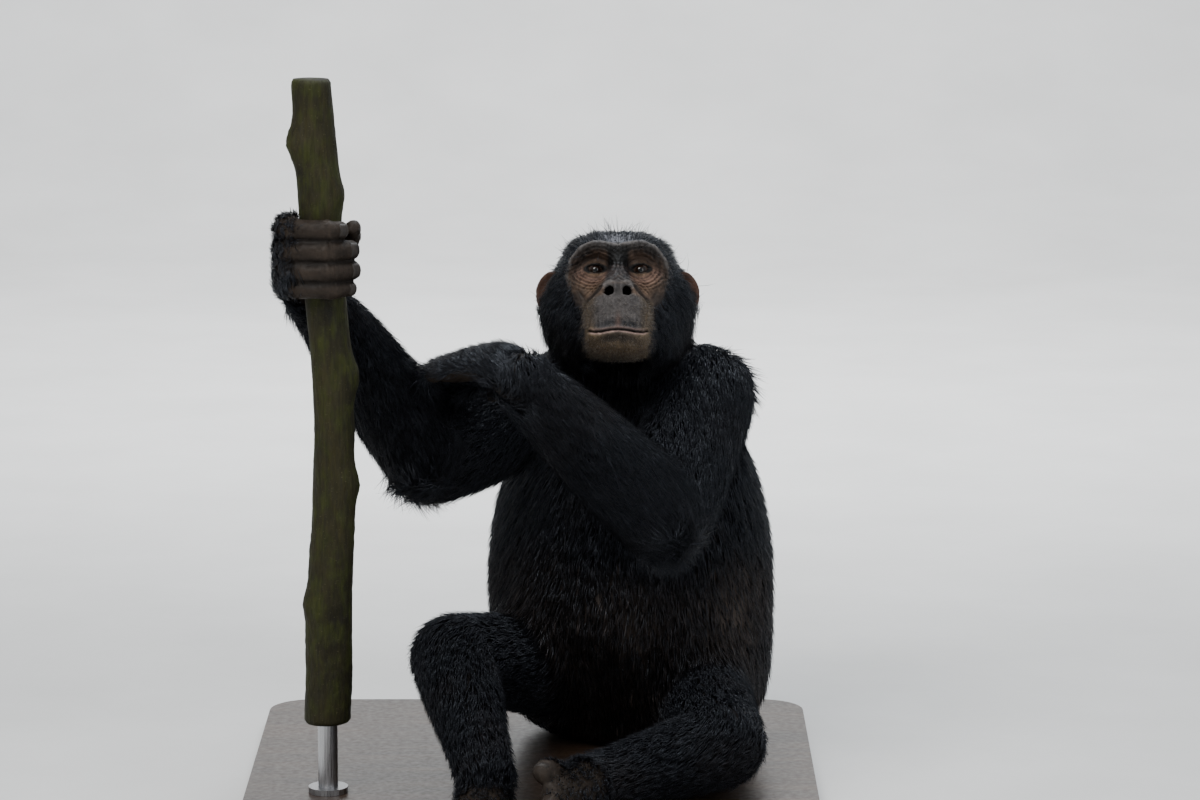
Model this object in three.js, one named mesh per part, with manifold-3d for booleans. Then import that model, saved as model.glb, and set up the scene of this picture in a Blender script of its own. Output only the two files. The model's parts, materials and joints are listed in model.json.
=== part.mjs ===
// A sitting adult chimpanzee, life size, that holds an upright sapling stem, on a plain display stand.
// Millimetres, +Z up. The camera side is -Y. The animal's left is mostly +X, because it sits turned a little.
// Inside the group "sitter" the ground is Z = 0, and the group stands on the top of the base.
import * as THREE from "three";
import { mergeVertices } from "three/addons/utils/BufferGeometryUtils.js";
import Module from "manifold-3d";

const wasm = await Module();
wasm.setup();

const v = (x, y, z) => new THREE.Vector3(x, y, z);
const lerp = THREE.MathUtils.lerp;
const rad = THREE.MathUtils.degToRad;

// The thin space between parts that touch.
const GAP = 0.3;

// The stand under the animal.
const BASE = { left: -505, right: 245, front: -690, back: 235, thick: 24, corner: 60 };
const ROD = { radius: 13, collarRadius: 26, collarHeight: 8 };

// The cut length of sapling, from its lower end to its upper end above the hand.
const STEM = { low: 95, high: 935, radiusLow: 30, radiusHigh: 25, y: -270, sides: 12, rings: 16 };

// How far the shoulders and the hips are turned from facing the camera side.
const TURN = { hips: rad(25), shoulders: rad(36) };

// Joints and other places in the body.
const AT = {
  seat: v(12, 24, 24),
  hips: v(10, 28, 92),
  belly: v(2, 18, 190),
  ribs: v(1, 22, 290),
  chest: v(-2, 28, 385),
  shoulders: v(-8, 32, 458),
  neckRoot: v(-12, 12, 522),
  nape: v(-15, -32, 590),
  head: v(-17, -95, 643),
  shoulderLeft: v(98, -44, 482),
  elbowLeft: v(42, -262, 366),
  wristLeft: v(-150, -283, 556),
  knucklesLeft: v(-212, -212, 552),
  shoulderRight: v(-122, 102, 444),
  elbowRight: v(-268, -119, 420),
  wristRight: v(-411, -194, 645),
  hipLeft: v(82, 2, 92),
  kneeLeft: v(122, -296, 70),
  ankleLeft: v(-66, -424, 46),
  hipRight: v(-62, 62, 92),
  kneeRight: v(-236, -196, 166),
  ankleRight: v(-186, -420, 62),
};

// The directions of the head: it looks at the camera side with the chin raised.
const HEAD_PITCH = rad(20);
const FORE = v(0, -Math.cos(HEAD_PITCH), Math.sin(HEAD_PITCH));
const OVER = v(0, Math.sin(HEAD_PITCH), Math.cos(HEAD_PITCH));
const LEFTWARD = v(1, 0, 0);
const inHead = (f, l, u) =>
  AT.head.clone().addScaledVector(FORE, f).addScaledVector(LEFTWARD, l).addScaledVector(OVER, u);

// The same draws each time, from one seed.
let seed = 20231;
function draw(low = 0, high = 1) {
  seed = (seed * 1664525 + 1013904223) % 4294967296;
  return low + ((high - low) * seed) / 4294967296;
}

// A closed solid from points and triangles, turned the right way out.
function solidOf(points, faces) {
  const make = (tris) =>
    new wasm.Manifold(
      new wasm.Mesh({
        numProp: 3,
        vertProperties: Float32Array.from(points.flatMap((p) => [p.x, p.y, p.z])),
        triVerts: Uint32Array.from(tris.flat()),
      }),
    );
  const made = make(faces);
  return made.volume() < 0 ? make(faces.map(([a, b, c]) => [a, c, b])) : made;
}

// A closed solid from rings of points with a point at each end.
function solidOfRings(rings, start, end) {
  const n = rings[0].length;
  const points = [...rings.flat(), start, end];
  const first = points.length - 2;
  const last = points.length - 1;
  const faces = [];
  for (let i = 0; i + 1 < rings.length; i++)
    for (let j = 0; j < n; j++) {
      const a = i * n + j;
      const b = i * n + ((j + 1) % n);
      faces.push([a, b, b + n], [a, b + n, a + n]);
    }
  for (let j = 0; j < n; j++) {
    const k = (j + 1) % n;
    const top = (rings.length - 1) * n;
    faces.push([first, k, j], [last, top + j, top + k]);
  }
  return solidOf(points, faces);
}

// A smooth value between the entries of a list, at place counted in entries.
function between(list, place) {
  const i = THREE.MathUtils.clamp(place, 0, list.length - 1);
  const k = Math.min(Math.floor(i), list.length - 2);
  const t = i - k;
  const p = (m) => list[Math.max(0, Math.min(list.length - 1, m))];
  const a = p(k - 1);
  const b = p(k);
  const c = p(k + 1);
  const d = p(k + 2);
  const bend = 2 * a - 5 * b + 4 * c - d;
  const twist = 3 * b - a - 3 * c + d;
  return 0.5 * (2 * b + (c - a) * t + bend * t * t + twist * t * t * t);
}

// The extra ring on the dome at each end of a limb, as shares of the dome's width and height.
const DOME_RING = { scale: 0.62, place: 0.78 };

// A body that tapers along a smooth line. A station is [middle, half width, half depth in front, half depth
// behind]; across says which way the width runs, and may differ at each station. A level body has flat rings.
class Limb {
  constructor(stations, across, { sides = 14, steps = 2, dome = 0.7, level = false } = {}) {
    this.count = stations.length;
    this.curve = new THREE.CatmullRomCurve3(stations.map((s) => s[0]));
    this.length = this.curve.getLength();
    this.wide = stations.map((s) => s[1]);
    this.fore = stations.map((s) => s[2]);
    this.back = stations.map((s) => s[3] ?? s[2]);
    this.across = Array.isArray(across) ? across : stations.map(() => across);
    Object.assign(this, { sides, steps, dome, level });
  }
  // The middle and directions of the ring at i, counted in stations. Past its ends the line runs straight on.
  frame(i) {
    const t = THREE.MathUtils.clamp(i / (this.count - 1), 0, 1);
    const past = (i / (this.count - 1) - t) * this.length;
    const along = this.level ? v(0, 0, 1) : this.curve.getTangent(t);
    const axis = (name) => between(this.across.map((a) => a[name]), i);
    const side = v(axis("x"), axis("y"), axis("z"));
    side.addScaledVector(along, -side.dot(along)).normalize();
    const front = side.clone().cross(along);
    return { middle: this.curve.getPoint(t).addScaledVector(along, past), along, side, front };
  }
  // The point on the skin at ring i and angle a, where 0 is the side and 90 degrees is the front.
  point(i, a, grow = 0, scale = 1, frame = this.frame(i)) {
    const depth = Math.sin(a) > 0 ? this.fore : this.back;
    return frame.middle
      .clone()
      .addScaledVector(frame.side, scale * (between(this.wide, i) + grow) * Math.cos(a))
      .addScaledVector(frame.front, scale * (between(depth, i) + grow) * Math.sin(a));
  }
  normal(i, a) {
    const frame = this.frame(i);
    const depth = Math.sin(a) > 0 ? this.fore : this.back;
    return v(0, 0, 0)
      .addScaledVector(frame.side, Math.cos(a) / between(this.wide, i))
      .addScaledVector(frame.front, Math.sin(a) / between(depth, i))
      .normalize();
  }
  solid(grow = 0) {
    const rings = [];
    const ring = (i, scale, shift) => {
      const frame = this.frame(i);
      frame.middle.addScaledVector(frame.along, shift);
      const angle = (j) => (2 * Math.PI * (j + 0.5)) / this.sides;
      rings.push(Array.from({ length: this.sides }, (_, j) => this.point(i, angle(j), grow, scale, frame)));
    };
    const last = this.count - 1;
    const reach = (i) => this.dome * Math.min(between(this.wide, i), between(this.fore, i)) + grow;
    ring(0, DOME_RING.scale, -DOME_RING.place * reach(0));
    for (let k = 0; k <= last * this.steps; k++) ring(k / this.steps, 1, 0);
    ring(last, DOME_RING.scale, DOME_RING.place * reach(last));
    const start = this.frame(0);
    const end = this.frame(last);
    return solidOfRings(
      rings,
      start.middle.addScaledVector(start.along, -reach(0)),
      end.middle.addScaledVector(end.along, reach(last)),
    );
  }
}

// A ball stretched along three directions.
function blob(middle, [rx, ry, rz], [ax, ay, az], grow = 0, sides = 10) {
  const levels = Math.max(4, Math.round(sides * 0.6));
  const at = (polar, turn) =>
    middle
      .clone()
      .addScaledVector(ax, (rx + grow) * Math.sin(polar) * Math.cos(turn))
      .addScaledVector(ay, (ry + grow) * Math.sin(polar) * Math.sin(turn))
      .addScaledVector(az, (rz + grow) * Math.cos(polar));
  const rings = [];
  for (let i = 1; i < levels; i++) {
    const ring = [];
    for (let j = 0; j < sides; j++) ring.push(at((Math.PI * i) / levels, (2 * Math.PI * j) / sides));
    rings.push(ring);
  }
  return solidOfRings(rings, at(0, 0), at(Math.PI, 0));
}

const middleOf = (ring) => ring.reduce((sum, p) => sum.add(p), v(0, 0, 0)).divideScalar(ring.length);

// A lock of hair is a flat blade with a low ridge. It leaves the skin at its root, which is sunk in, follows
// the path that lies over the skin, and narrows to its tip. path(s, height) gives a point at share s of its
// length and at a height over the skin, and out(s) the way out from the skin there. Its thin edges need the
// most room.
const LOCK = { shares: [0, 0.36, 0.72], fullness: [0.7, 1, 0.66], sink: 8, ridge: 6 };
const LOCK_ROOM = { edge: 4, base: 0.5, ridge: 0.7, tip: 7 };
function lock({ path, out, wide, lift, twist }, roomy) {
  const room = roomy ? LOCK_ROOM : { edge: 0, base: 0, ridge: 0, tip: 0 };
  const height = (s) => -LOCK.sink + (LOCK.sink + lift) * (1 - (1 - s) ** 2);
  const rings = LOCK.shares.map((s, i) => {
    const middle = path(s, height(s));
    const ahead = path(s + 0.05, height(s)).sub(middle).normalize();
    const up = out(s);
    const side = ahead.clone().cross(up).normalize();
    const half = 0.5 * wide * LOCK.fullness[i];
    const lean = twist * s * half;
    if (i === 0) middle.addScaledVector(ahead, -room.base);
    return [
      middle.clone().addScaledVector(side, half + room.edge).addScaledVector(up, lean - room.base),
      middle.clone().addScaledVector(up, LOCK.ridge * (1 - 0.4 * s) + room.ridge),
      middle.clone().addScaledVector(side, -half - room.edge).addScaledVector(up, -lean - room.base),
    ];
  });
  const tip = path(1, lift);
  const onward = tip.clone().sub(middleOf(rings.at(-1))).normalize();
  return solidOfRings(rings, middleOf(rings[0]), tip.addScaledVector(onward, room.tip));
}

// The place round a limb that faces most nearly one way.
function facing(limb, i, way) {
  const places = Array.from({ length: 36 }, (_, k) => rad(10 * k));
  const towards = (a) => limb.normal(i, a).dot(way);
  return places.reduce((best, a) => (towards(a) > towards(best) ? a : best));
}

// Locks over a limb, in rows along it that are staggered round it.
function coatOver(limb, { from, to, rows, angles, count, long, wide, lift = 9, sway = 0.12 }) {
  const pitch = limb.length / (limb.count - 1);
  const way = Math.sign(to - from);
  const made = [];
  for (let row = 0; row < rows; row++)
    for (let k = 0; k < count; k++) {
      const i0 = lerp(from, to, row / (rows - 1)) + draw(-0.06, 0.06);
      const a0 = lerp(angles[0], angles[1], (k + 0.25 + (row % 2) * 0.5 + draw(-0.1, 0.1)) / count);
      const di = (way * long * draw(0.88, 1.12)) / pitch;
      const da = draw(-sway, sway);
      made.push({
        path: (s, height) => limb.point(i0 + di * s, a0 + da * s, height),
        out: (s) => limb.normal(i0 + di * s, a0 + da * s),
        wide: wide * draw(0.88, 1.12),
        lift: lift * draw(0.8, 1.2),
        twist: draw(-0.15, 0.15),
      });
    }
  return made;
}

const joined = (pieces) => pieces.reduce((all, piece) => all.add(piece));

// A part has its own solid and the same solid grown by the gap, which is cut from whatever it meets.
const part = (build) => ({ own: joined(build(0)), grown: joined(build(GAP)) });

// Two parts that share a joint: each keeps its own side of a plane through it.
function partAtJoint(near, far, joint, towards) {
  const n = towards.clone().normalize();
  const offset = joint.dot(n);
  const whole = near.own.add(far.own);
  const minus = n.clone().negate();
  const trim = (solid, dir, off) => solid.trimByPlane([dir.x, dir.y, dir.z], off);
  return [
    { own: trim(whole, minus, -offset), grown: trim(near.grown.add(far.grown), minus, -offset - GAP) },
    { own: trim(whole, n, offset + GAP), grown: trim(near.grown.add(far.grown), n, offset) },
  ];
}

// The torso, from the seat to the root of the neck. Its width runs to the animal's left.
const leftAt = (turn) => v(Math.cos(turn), -Math.sin(turn), 0);
const turns = [0, 0, 0.15, 0.4, 0.8, 1, 1].map((k) => lerp(TURN.hips, TURN.shoulders, k));
const torso = new Limb(
  [
    [AT.seat, 156, 96, 96],
    [AT.hips, 184, 146, 132],
    [AT.belly, 197, 176, 160],
    [AT.ribs, 194, 160, 164],
    [AT.chest, 176, 122, 146],
    [AT.shoulders, 146, 80, 108],
    [AT.neckRoot, 92, 56, 78],
  ],
  turns.map(leftAt),
  { sides: 20, steps: 2, dome: 0.35, level: true },
);

// The neck slopes forward from the shoulders to the back of the skull.
const neck = new Limb(
  [
    [v(-10, 44, 496), 98, 62, 84],
    [AT.neckRoot, 92, 62, 80],
    [AT.nape, 84, 68, 72],
    [v(-17, -72, 632), 66, 60, 58],
  ],
  LEFTWARD,
  { sides: 14, steps: 1 },
);

// The arms. The width of each limb runs along the hinge of its elbow or knee.
const hingeAt = (a, b, c) => b.clone().sub(a).cross(c.clone().sub(b)).normalize();
const along = (a, b, t) => a.clone().lerp(b, t);

function upperArm(shoulder, elbow, hinge) {
  return new Limb(
    [
      [along(shoulder, elbow, -0.14), 58, 56],
      [shoulder, 68, 66],
      [along(shoulder, elbow, 0.35), 60, 66],
      [along(shoulder, elbow, 0.7), 55, 67],
      [elbow, 53, 62],
    ],
    hinge,
    { sides: 12, steps: 2 },
  );
}
function forearm(elbow, wrist, hinge) {
  return new Limb(
    [
      [elbow, 53, 61],
      [along(elbow, wrist, 0.22), 55, 56],
      [along(elbow, wrist, 0.55), 48, 46],
      [along(elbow, wrist, 0.85), 37, 34],
      [wrist, 33, 28],
    ],
    hinge,
    { sides: 12, steps: 2 },
  );
}
const hingeLeft = hingeAt(AT.shoulderLeft, AT.elbowLeft, AT.wristLeft);
const hingeRight = hingeAt(AT.shoulderRight, AT.elbowRight, AT.wristRight);
const upperArmLeft = upperArm(AT.shoulderLeft, AT.elbowLeft, hingeLeft);
const upperArmRight = upperArm(AT.shoulderRight, AT.elbowRight, hingeRight);
const forearmLeft = forearm(AT.elbowLeft, AT.wristLeft, hingeLeft);
const forearmRight = forearm(AT.elbowRight, AT.wristRight, hingeRight);

// The legs.
function thigh(hip, knee, across) {
  return new Limb(
    [
      [hip, 82, 78],
      [along(hip, knee, 0.35), 74, 66],
      [along(hip, knee, 0.75), 60, 56],
      [knee, 53, 54],
    ],
    across,
    { sides: 12, steps: 2 },
  );
}
function shin(knee, ankle, across) {
  return new Limb(
    [
      [knee, 50, 52],
      [along(knee, ankle, 0.3), 46, 50],
      [along(knee, ankle, 0.7), 35, 38],
      [ankle, 30, 32],
    ],
    across,
    { sides: 12, steps: 2 },
  );
}
const acrossLeftLeg = hingeAt(AT.hipLeft, AT.kneeLeft, AT.ankleLeft);
const acrossRightLeg = hingeAt(AT.hipRight, AT.kneeRight, AT.ankleRight);
const thighLeft = thigh(AT.hipLeft, AT.kneeLeft, acrossLeftLeg);
const thighRight = thigh(AT.hipRight, AT.kneeRight, acrossRightLeg);
const shinLeft = shin(AT.kneeLeft, AT.ankleLeft, acrossLeftLeg);
const shinRight = shin(AT.kneeRight, AT.ankleRight, acrossRightLeg);

// A finger or toe through its joints, which are [point, radius].
const digit = (joints, across, sides = 6, steps = 1) =>
  new Limb(joints.map(([p, r]) => [p, r, r * 0.92]), across, { sides, steps, dome: 0.9 });

// The sapling stem, a slow bend with a swelling at each old knot.
const stemCurve = new THREE.CatmullRomCurve3([
  v(-396, STEM.y, STEM.low),
  v(-391, STEM.y - 3, 270),
  v(-383, STEM.y, 470),
  v(-396, STEM.y, 705),
  v(-408, STEM.y + 2, STEM.high),
]);
// How high each knot is, the angle where it stands out, how far it does, and its reach up and down.
const KNOTS = [
  { height: 285, angle: 3.4, size: 5, reach: 22 },
  { height: 455, angle: 0.1, size: 6, reach: 22 },
  { height: 590, angle: 0.2, size: 9, reach: 22 },
  { height: 800, angle: 0.1, size: 6, reach: 20 },
  { height: 858, angle: 3.3, size: 12, reach: 24 },
];
const SWAY = { wide: 1.1, narrow: 0.8 };
function stemRadius(t, turn) {
  const z = lerp(STEM.low, STEM.high, t);
  const round = lerp(STEM.radiusLow, STEM.radiusHigh, t);
  const uneven = SWAY.wide * Math.sin(9 * t + 2 * turn) + SWAY.narrow * Math.sin(23 * t - turn);
  const swelling = ({ height, angle, size, reach }) =>
    size * Math.exp(-(((z - height) / reach) ** 2)) * Math.max(0, Math.cos(turn - angle)) ** 2;
  return KNOTS.reduce((radius, knot) => radius + swelling(knot), round + uneven);
}
function stem(grow) {
  const rings = [];
  for (let i = 0; i <= STEM.rings; i++) {
    const t = i / STEM.rings;
    const middle = stemCurve.getPoint(t);
    const ring = [];
    for (let j = 0; j < STEM.sides; j++) {
      const turn = (2 * Math.PI * j) / STEM.sides;
      const r = stemRadius(t, turn) + grow;
      ring.push(v(middle.x + r * Math.cos(turn), middle.y + r * Math.sin(turn), middle.z));
    }
    rings.push(ring);
  }
  rings[0].forEach((p) => (p.z -= grow));
  rings.at(-1).forEach((p) => (p.z += grow));
  const low = stemCurve.getPoint(0);
  const high = stemCurve.getPoint(1);
  low.z -= grow;
  high.z += grow;
  return solidOfRings(rings, low, high);
}

// The right hand round the stem. An angle runs round the stem from the camera side towards -X.
const GRIP = { reach: 42 };
function roundStem(degrees, radius, z) {
  const middle = stemCurve.getPoint((z - STEM.low) / (STEM.high - STEM.low));
  const a = rad(degrees);
  return v(middle.x - radius * Math.sin(a), middle.y - radius * Math.cos(a), z);
}
const gripFingers = [
  { z: 746, tip: -42, radius: 14.5 },
  { z: 719, tip: -66, radius: 16 },
  { z: 693, tip: -66, radius: 15.5 },
  { z: 670, tip: -55, radius: 12.5 },
].map(({ z, tip, radius }) =>
  digit(
    [
      [roundStem(122, GRIP.reach + 4, z - 6), radius + 1],
      [roundStem(88, GRIP.reach + 5, z - 2), radius],
      [roundStem(42, GRIP.reach + 2, z), radius],
      [roundStem(-8, GRIP.reach - 1, z), radius - 1],
      [roundStem(tip, GRIP.reach - 2, z - 1), radius - 3],
    ],
    v(0, 0, 1),
    6,
    2,
  ),
);
const gripThumb = digit(
  [
    [v(-402, -214, 668), 18],
    [roundStem(196, GRIP.reach + 6, 700), 15],
    [roundStem(235, GRIP.reach + 1, 726), 13],
    [roundStem(266, GRIP.reach - 2, 744), 10.5],
  ],
  v(0, 0.3, 1),
);
const palmRight = new Limb(
  [
    [along(AT.wristRight, AT.elbowRight, 0.06), 28, 25],
    [AT.wristRight, 31, 24],
    [v(-420, -216, 674), 42, 22],
    [v(-437, -240, 702), 50, 19],
    [v(-443, -262, 707), 48, 16],
  ],
  [v(0.5, 0.4, 0.6), v(0.4, 0.5, 0.7), v(0.3, 0.5, 0.8), v(0.1, 0.2, 1), v(0, 0, 1)],
  { sides: 12, steps: 1, dome: 0.5 },
);

// The left hand hangs over the crook of the right elbow, palm down.
const palmAcrossLeft = v(0.79, 0.61, 0);
const palmLeft = new Limb(
  [
    [along(AT.wristLeft, AT.elbowLeft, 0.06), 27, 24],
    [AT.wristLeft, 30, 23],
    [v(-178, -256, 566), 38, 20],
    [AT.knucklesLeft, 44, 17],
    [v(-220, -200, 546), 42, 14],
  ],
  palmAcrossLeft,
  { sides: 12, steps: 1, dome: 0.5 },
);
const leftFingers = [
  { side: 33, long: 0.92, radius: 14 },
  { side: 11, long: 1, radius: 15 },
  { side: -11, long: 0.96, radius: 14.5 },
  { side: -32, long: 0.8, radius: 12 },
].map(({ side, long, radius }) => {
  const root = AT.knucklesLeft.clone().addScaledVector(palmAcrossLeft, side);
  const from = (dx, dy, dz) => root.clone().add(v(dx * long, dy * long, dz * long));
  return digit(
    [
      [from(6, -8, 1), radius],
      [from(-16, 28, -4), radius],
      [from(-26, 52, -14), radius],
      [from(-32, 80, -34), radius - 1.5],
      [from(-32, 92, -54), radius - 4],
    ],
    palmAcrossLeft,
  );
});
const leftThumb = digit(
  [
    [v(-150, -262, 545), 15],
    [v(-150, -228, 532), 13],
    [v(-166, -200, 520), 11.5],
    [v(-180, -184, 512), 9.5],
  ],
  v(0.5, 0.5, 0.6),
);

// A foot in its own frame: x to the big toe's side, y to the toes, z up from the sole.
function foot(place, mirror) {
  const p = (x, y, z) => v(x * mirror, y, z).applyMatrix4(place);
  const way = v(mirror, 0, 0).transformDirection(place);
  const sole = new Limb(
    [
      [p(0, -34, 26), 24, 24],
      [p(0, -8, 34), 31, 33],
      [p(2, 40, 30), 33, 29],
      [p(3, 88, 22), 40, 22],
      [p(2, 122, 16), 42, 17],
    ],
    way,
    { sides: 12, steps: 1, dome: 0.4 },
  );
  const toes = [
    { x: 22, long: 0.95, radius: 11.5 },
    { x: 2, long: 1, radius: 12 },
    { x: -17, long: 0.92, radius: 11 },
    { x: -34, long: 0.75, radius: 10 },
  ].map(({ x, long, radius }) =>
    digit(
      [
        [p(x, 108, 15), radius],
        [p(x * 1.06, 108 + 32 * long, 18), radius],
        [p(x * 1.1, 108 + 60 * long, 14), radius - 1],
        [p(x * 1.1, 108 + 78 * long, 9), radius - 2.5],
      ],
      way,
    ),
  );
  const bigToe = digit(
    [
      [p(20, 30, 20), 17],
      [p(40, 60, 16), 15],
      [p(54, 90, 15), 14],
      [p(58, 114, 13), 12],
    ],
    way,
  );
  return { sole, toes, bigToe };
}
function placeOf(origin, forward, up) {
  const y = forward.clone().normalize();
  const x = y.clone().cross(up).normalize();
  const z = x.clone().cross(y);
  return new THREE.Matrix4().makeBasis(x, y, z).setPosition(origin);
}
const footRight = foot(placeOf(v(-186, -424, 0), v(-0.16, -1, 0), v(0, 0, 1)), -1);
const footLeft = foot(placeOf(v(-92, -438, 40), v(-0.12, -1, 0), v(0.94, 0, 0.34)), 1);
const solidsOfFoot = ({ sole, toes, bigToe }) => (grow) =>
  [sole, ...toes, bigToe].map((piece) => piece.solid(grow));

// The skull and face as soft masses, each at [fore, leftward, over], some with a twin on the other side.
const MASSES = [
  { at: [-26, 0, 12], size: [92, 74, 64] },
  { at: [61, 25, 31], size: [17, 31, 13], twin: true },
  { at: [65, 0, 31], size: [13, 22, 11] },
  { at: [-10, 60, -38], size: [41, 27, 50], twin: true },
  { at: [40, 0, -6], size: [34, 56, 44] },
  { at: [48, 42, -16], size: [22, 19, 24], twin: true },
  { at: [70, 0, -66], size: [50, 44, 43] },
  { at: [74, 0, -16], size: [20, 15, 34] },
  { at: [90, 0, -27], size: [17, 21, 12] },
  { at: [71, 0, -88], size: [43, 37, 23] },
  { at: [22, 38, -52], size: [50, 26, 42], twin: true },
  { at: [-48, 0, -28], size: [62, 62, 58] },
];
const SOCKET = { at: [84, 30, 9], size: [17, 17, 12] };
const EYE = { at: [59, 29.5, 9], radius: 11.5, lid: 14.5, halfWide: 11, halfHigh: 5.4, reach: 30, sides: 12 };
const SOFTNESS = 7;

function depthIn({ at, size }, f, l, u, flip = 1) {
  const q = Math.hypot((f - at[0]) / size[0], (l - flip * at[1]) / size[1], (u - at[2]) / size[2]);
  return (1 - q) * Math.min(...size);
}
// How deep a point lies in the head, which is 0 on its skin.
function headDepth(f, l, u) {
  let sum = 0;
  for (const mass of MASSES)
    for (const flip of mass.twin ? [1, -1] : [1]) sum += Math.exp(depthIn(mass, f, l, u, flip) / SOFTNESS);
  const solid = SOFTNESS * Math.log(sum);
  const hollow = Math.max(depthIn(SOCKET, f, l, u, 1), depthIn(SOCKET, f, l, u, -1));
  return Math.min(solid, -hollow);
}
// The head as rings round the line of sight, closer together on the face.
const HEAD_RINGS = { middle: [8, -20], sides: 28, face: 14, rest: 5, faceAngle: rad(74) };
const SEARCH = { far: 190, near: 10, step: 3, halvings: 12 };
// How far out from a point of the head its skin lies in one direction.
function reachOfHead(f0, u0, [df, dl, du]) {
  const deep = (r) => headDepth(f0 + r * df, r * dl, u0 + r * du) > 0;
  let low = SEARCH.far;
  while (low > SEARCH.near && !deep(low)) low -= SEARCH.step;
  let high = low + SEARCH.step;
  for (let k = 0; k < SEARCH.halvings; k++) {
    const mid = (low + high) / 2;
    if (deep(mid)) low = mid;
    else high = mid;
  }
  return low;
}
function headSolid(grow) {
  const [f0, u0] = HEAD_RINGS.middle;
  const skin = (polar, turn) => {
    const [df, dr] = [Math.cos(polar), Math.sin(polar)];
    const [dl, du] = [dr * Math.cos(turn), dr * Math.sin(turn)];
    const r = reachOfHead(f0, u0, [df, dl, du]) + grow;
    return inHead(f0 + r * df, r * dl, u0 + r * du);
  };
  const rings = [];
  const add = (polar) => {
    const turn = (j) => (2 * Math.PI * j) / HEAD_RINGS.sides;
    rings.push(Array.from({ length: HEAD_RINGS.sides }, (_, j) => skin(polar, turn(j))));
  };
  for (let i = 1; i <= HEAD_RINGS.face; i++) add((HEAD_RINGS.faceAngle * i) / HEAD_RINGS.face);
  for (let i = 1; i < HEAD_RINGS.rest; i++)
    add(lerp(HEAD_RINGS.faceAngle, Math.PI, i / HEAD_RINGS.rest));
  return solidOfRings(rings, skin(0, 0), skin(Math.PI, 0));
}

// A lock on the head runs from one direction to another, both seen from the middle of the skull.
const SKULL_MIDDLE = { fore: -14, over: -18 };
function onHead(direction, height) {
  const { fore, over } = SKULL_MIDDLE;
  const { x, y, z } = direction.clone().normalize();
  const r = reachOfHead(fore, over, [x, y, z]) + height;
  return inHead(fore + r * x, r * y, over + r * z);
}
function headLock(start, end, lift, wide = 40) {
  const direction = (s) => v(...start).lerp(v(...end), s);
  const sway = draw(0.9, 1.1);
  return {
    path: (s, height) => onHead(direction(s * sway), height),
    out: (s) => onHead(direction(s), 10).sub(onHead(direction(s), 0)).normalize(),
    wide: wide * draw(0.9, 1.1),
    lift: lift * draw(0.85, 1.15),
    twist: draw(-0.15, 0.15),
  };
}
// The ruff runs down each side of the face in two rows.
function ruff(side) {
  const locks = [];
  for (let k = 0; k < 3; k++) {
    const f = lerp(0.5, -0.45, k / 2);
    locks.push(headLock([f, side, lerp(0.2, 0.05, k / 2)], [f * 0.7 - 0.05, side * 0.95, -0.75], 11, 48));
    locks.push(headLock([f + 0.1, side * 0.95, -0.4], [f * 0.5 + 0.1, side * 0.62, -1.05], 16, 50));
  }
  for (const f of [0.5, -0.4])
    locks.push(headLock([f, side * 0.78, 0.7], [f - 0.62, side * 0.95, 0.2], 8, 50));
  return locks;
}
// The hair of the crown runs back.
function crown() {
  const locks = [];
  for (let k = 0; k < 3; k++) {
    const f = lerp(0.42, -0.75, k / 2);
    for (const side of k === 1 ? [0] : [0.3, -0.3])
      locks.push(headLock([f, side, 0.95], [f - 0.75, side * 1.2, 0.62 - 0.35 * k], 7, 50));
  }
  return locks;
}
const headCoat = () => [...ruff(1), ...ruff(-1), ...crown()];

const eyeMiddle = (side) => inHead(EYE.at[0], side * EYE.at[1], EYE.at[2]);
const HEAD_WAYS = [LEFTWARD, OVER, FORE];
const ballAtEye = (side, radius, grow, sides) =>
  blob(eyeMiddle(side), [radius, radius, radius], HEAD_WAYS, grow, sides);
const eyeball = (side, grow = 0) => ballAtEye(side, EYE.radius, grow, 10);
// An opening between the lids: a flat lens, wider than high, that runs forward from the eye.
function lidOpening(side) {
  const at = (reach, a) => {
    const high = EYE.halfHigh * Math.sin(a) * Math.abs(Math.sin(a)) ** 0.3;
    return inHead(EYE.at[0] + reach, side * EYE.at[1] + EYE.halfWide * Math.cos(a), EYE.at[2] + high);
  };
  const turn = (j) => (2 * Math.PI * j) / EYE.sides;
  const ring = (reach) => Array.from({ length: EYE.sides }, (_, j) => at(reach, turn(j)));
  const rings = [ring(0), ring(EYE.reach)];
  return solidOfRings(rings, middleOf(rings[0]), middleOf(rings[1]));
}
// How far forward the face reaches at a place seen from the front.
function faceAt(l, u) {
  const step = 0.5;
  let f = SEARCH.far;
  while (f > 0 && headDepth(f, l, u) < 0) f -= step;
  return f;
}
// The line of the mouth: a thin wedge that follows the lips from corner to corner.
const MOUTH = { over: -82.5, halfWide: 40, rise: 2, depth: 8, open: 14, gape: 1.5, steps: 12 };
const mouthAt = (s) => [MOUTH.halfWide * s, MOUTH.over + MOUTH.rise * s * s];
function mouthLine() {
  const rings = [];
  for (let i = 0; i <= MOUTH.steps; i++) {
    const s = (2 * i) / MOUTH.steps - 1;
    const [l, u] = mouthAt(s);
    const f = faceAt(l, u);
    const thin = MOUTH.gape * (1 - 0.8 * s * s);
    rings.push([
      inHead(f + MOUTH.open, l * 1.14, u + thin * 2),
      inHead(f - MOUTH.depth, l * 0.92, u),
      inHead(f + MOUTH.open, l * 1.14, u - thin * 2),
    ]);
  }
  return solidOfRings(rings, middleOf(rings[0]), middleOf(rings.at(-1)));
}
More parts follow.
